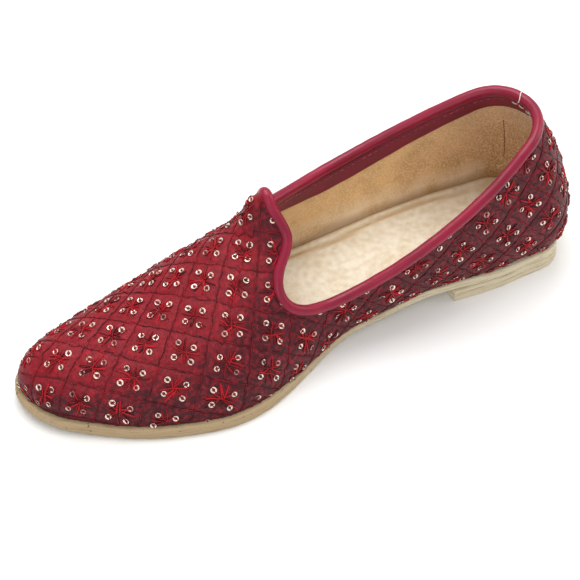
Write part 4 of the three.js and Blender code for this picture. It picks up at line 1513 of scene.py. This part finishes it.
def plan_ring(last, turns, margin, z):
    """A ring of the last's plan grown by margin, with a height for each point's share of the length."""
    rings = []
    for side in SIDES:
        flat = last.plan_point(turns, float(side))
        flat = flat + last.plan_outward(turns, float(side)) * margin[side][:, None]
        at = np.clip(last.share_at(flat[:, 0]), 0, 1)
        rings.append(np.concatenate([flat, z(at)[:, None]], 1))
    return np.concatenate([rings[0], rings[1][1:-1][::-1]])


def stacked(rings, pointed=True):
    """Faces of a closed form from rings of equal length, with a ladder of faces across both ends.

    Pointed rings start with one point at the toe, the others with a straight front.
    """
    number = len(rings[0])
    half = number // 2
    first = 1 if pointed else 0
    far = number - 1 + first
    wall = grid_faces(len(rings), number, closed_b=True)
    i = np.arange(first, half - 1)
    ladder = np.stack([i, i + 1, far - i - 1, far - i], -1)
    ends = np.array([[0, 1, number - 1], [half - 1, half, half + 1]])[1 - first :]
    top = (len(rings) - 1) * number
    points = np.concatenate(rings)
    return points, [wall[:, ::-1], ladder[:, ::-1], ladder + top, ends[:, ::-1], ends + top]


class MOJARI_OT_footbed(PieceOperator):
    """Builds the woven footbed"""

    bl_idname = "mojari.footbed"
    bl_label = "Footbed"

    def execute(self, context):
        skin = current_skin()
        last, f = skin.last, skin.f
        turns = np.linspace(0, 1, 181)
        edge = f.wall + 2 * f.gap

        def ring(extra, lift):
            margin = {s: np.full(len(turns), -edge - extra) for s in SIDES}
            made = plan_ring(last, turns, margin, lambda at: last.top_z(at) + f.gap + lift)
            if extra > 0:
                made[:, 2] += 0.16 * ripple(made, 24, 81) * min(extra / 3, 1)
            return made

        thick = f.insole_thickness
        # Columns: inset from the edge and height over the underside, in millimetres
        profile = [(0, 0), (0, 0.6 * thick), (0.12, 0.84 * thick), (0.45, 0.96 * thick), (1.0, thick)]
        profile += [(k, thick - 0.25 * smooth(1, 14, k)) for k in (2.2, 3.6, 5.2, 7.0, 9.0, 11.2, 13.4)]
        points, faces = stacked([ring(extra, lift) for extra, lift in profile])
        margin = np.repeat([extra for extra, _ in profile], len(points) // len(profile))
        share_of = last.share_at(points[:, 0])
        medial = smooth(0, 14, last.centre_y(share_of) - points[:, 1]) * smooth(0.05, 0.2, share_of)
        crease = np.exp(-(((margin - 5.5 + 1.2 * ripple(points, 40, 82)) / 1.3) ** 2)) * medial
        layers = {"margin": margin, "crease": crease}
        finish = context.scene.mojari_finish
        make("footbed", points, faces, sock_material(finish), "footbed", ("insole",), layers)
        return {"FINISHED"}


class MOJARI_OT_sole(PieceOperator):
    """Builds the sheet sole with its rough hand-cut edge"""

    bl_idname = "mojari.sole"
    bl_label = "Sole"

    def execute(self, context):
        skin = current_skin()
        last, f = skin.last, skin.f
        turns = np.linspace(0, 1, 301)
        at = (1 + np.cos(np.pi * turns)) / 2
        # Columns: share of the height, inset from the edge in millimetres
        profile = [(0, 4.0), (0, 0.9), (0.05, 0.25), (0.16, 0.0), (0.34, 0.04), (0.5, 0.1), (0.66, 0.05)]
        profile += [(0.84, 0.0), (0.95, 0.3), (1, 0.9), (1, 4.0)]
        rings = []
        for k, (height, inset) in enumerate(profile):
            margin = {s: last.lip_at(at) - inset for s in SIDES}
            low = plan_ring(last, turns, margin, last.underside_z)
            ring = plan_ring(last, turns, margin, last.top_z) * height + low * (1 - height)
            side_way = unit(ring[:, :2] - ring[:, :2].mean(0))
            if 1 < k < len(profile) - 2:
                rough = 0.18 * ripple(ring, 7, 91) + 0.13 * ripple(ring, 2.2, 92)
                ring[:, :2] += side_way * rough[:, None]
            rings.append(ring)
        points, faces = stacked(rings)
        finish = context.scene.mojari_finish
        make("sole_sheet", points, faces, sole_material("sole_crepe", finish), "sole", ("outsole",))
        return {"FINISHED"}


class MOJARI_OT_heel(PieceOperator):
    """Builds the two lifts of the heel"""

    bl_idname = "mojari.heel"
    bl_label = "Heel"

    def execute(self, context):
        skin = current_skin()
        last, f = skin.last, skin.f
        breast = math.acos(2 * last.heel_end - 1) / math.pi
        turns = np.linspace(breast, 1, 121)
        front = last.x_at(last.heel_end)
        finish = context.scene.mojari_finish
        for index, name in enumerate(("heel_lift_lower", "heel_lift_upper")):
            low = index * (f.lift_thickness + f.gap)
            high = low + f.lift_thickness + (f.gap if index == 0 else f.gap * 0.9)
            proud = last.lip_at(0.0) + (LIFT_COUNT - 1 - index) * f.lift_flare
            # Columns: share of the height, inset from the edge in millimetres
            profile = [(0, 3.0), (0, 0.5), (0.1, 0.05), (0.3, 0.0), (0.5, 0.05), (0.7, 0.0), (0.9, 0.06)]
            profile += [(1, 0.4), (1, 3.0)]
            rings = []
            for k, (height, inset) in enumerate(profile):
                grown = proud + f.lift_flare * (1 - height) - inset
                sides = []
                for side in SIDES:
                    flat = last.plan_point(turns, float(side))
                    flat = flat + last.plan_outward(turns, float(side)) * grown
                    flat[:, 0] = np.minimum(flat[:, 0], front - min(inset, 0.4))
                    sides.append(flat)
                flat = np.concatenate([sides[0], sides[1][:-1][::-1]])
                z = np.full((len(flat), 1), low + (high - low) * height)
                ring = np.concatenate([flat, z], 1)
                if 1 < k < len(profile) - 2:
                    rough = 0.1 * ripple(ring, 6, 95) + 0.07 * ripple(ring, 2.0, 96)
                    ring[:, :2] += unit(flat) * rough[:, None]
                rings.append(ring)
            points, faces = stacked(rings, pointed=False)
            made = sole_material(name + "_crepe", finish)
            make(name + "_slab", points, faces, made, "sole", (name,))
        return {"FINISHED"}


class MOJARI_OT_stage(PieceOperator):
    """Builds the floor, the lights and the camera"""

    bl_idname = "mojari.stage"
    bl_label = "Stage"

    def execute(self, context):
        studio = context.scene.mojari_studio
        reach = 6.0
        mesh = bpy.data.meshes.new("floor")
        corners = [(-reach, -reach, 0), (reach, -reach, 0), (reach, reach, 0), (-reach, reach, 0)]
        mesh.from_pydata(corners, [], [(0, 1, 2, 3)])
        floor = bpy.data.objects.new("floor", mesh)
        context.scene.collection.objects.link(floor)
        floor.data.materials.append(Look("floor_paper", studio.floor, 0.9, Specular_IOR_Level=0.1).material)
        target = Vector((studio.target_x, studio.target_y, studio.target_z))
        level = math.cos(studio.elevation)
        plan = level * math.cos(studio.azimuth), level * math.sin(studio.azimuth)
        way = Vector((*plan, math.sin(studio.elevation)))
        data = bpy.data.cameras.new("camera")
        data.lens = studio.lens
        data.sensor_width = 36
        camera = bpy.data.objects.new("camera", data)
        camera.location = target + way * studio.distance
        camera.rotation_euler = (-way).to_track_quat("-Z", "Y").to_euler()
        context.scene.collection.objects.link(camera)
        context.scene.camera = camera
        # Columns: name, offset from the target and size in metres, power
        lights = [
            ("key", (-0.1, -0.35, 1.1), 0.9, studio.key_power),
            ("front", (0.75, 0.9, 0.75), 0.8, studio.front_power),
            ("rim", (-1.1, 0.2, 0.6), 0.7, studio.side_power),
        ]
        for name, place, size, watts in lights:
            self.light(context, name, target, Vector(place), size, watts)
        world = bpy.data.worlds.new("studio")
        context.scene.world = world
        world.use_nodes = True
        sky = world.node_tree.nodes["Background"]
        sky.inputs["Color"].default_value = (1, 1, 1, 1)
        sky.inputs["Strength"].default_value = studio.sky
        context.scene.view_settings.view_transform = "Standard"
        return {"FINISHED"}

    def light(self, context, name, target, place, size, watts):
        """A square area light that looks at the target; place is its offset in metres."""
        data = bpy.data.lights.new(name, "AREA")
        data.shape = "SQUARE"
        data.size = size
        data.energy = watts
        light = bpy.data.objects.new(name, data)
        light.location = target + place
        light.rotation_euler = (-place).to_track_quat("-Z", "Y").to_euler()
        context.scene.collection.objects.link(light)


class MOJARI_PT_sidebar(bpy.types.Panel):
    """Lists the operators of the shoe"""

    bl_idname = "MOJARI_PT_sidebar"
    bl_label = "Mojari Shoe"
    bl_space_type = "VIEW_3D"
    bl_region_type = "UI"
    bl_category = "Mojari"

    def draw(self, context):
        for group in (MojariForm, MojariCloth, MojariFinish, MojariStudio):
            box = self.layout.box()
            settings = getattr(context.scene, GROUPS[group])
            for name in group.__annotations__:
                box.prop(settings, name)
        for item in OPERATORS:
            self.layout.operator(item.bl_idname)


GROUPS = {
    MojariForm: "mojari_form",
    MojariCloth: "mojari_cloth",
    MojariFinish: "mojari_finish",
    MojariStudio: "mojari_studio",
}
OPERATORS = (
    MOJARI_OT_stage,
    MOJARI_OT_sole,
    MOJARI_OT_heel,
    MOJARI_OT_footbed,
    MOJARI_OT_cloth,
    MOJARI_OT_feather,
    MOJARI_OT_lining,
    MOJARI_OT_binding,
    MOJARI_OT_facings,
    MOJARI_OT_heel_seam,
    MOJARI_OT_lattice,
    MOJARI_OT_stars,
    MOJARI_OT_sequins,
)


def register():
    """Registers the classes and puts the property groups on the scene."""
    for item in (*GROUPS, *OPERATORS, MOJARI_PT_sidebar):
        bpy.utils.register_class(item)
    for group, name in GROUPS.items():
        setattr(bpy.types.Scene, name, bpy.props.PointerProperty(type=group))


def unregister():
    """Takes the property groups off the scene and unregisters the classes."""
    for name in GROUPS.values():
        delattr(bpy.types.Scene, name)
    for item in (MOJARI_PT_sidebar, *reversed(OPERATORS), *reversed(GROUPS)):
        bpy.utils.unregister_class(item)


def main():
    register()
    for item in OPERATORS:
        getattr(bpy.ops.mojari, item.bl_idname.split(".")[1])()


if __name__ == "__main__":
    main()
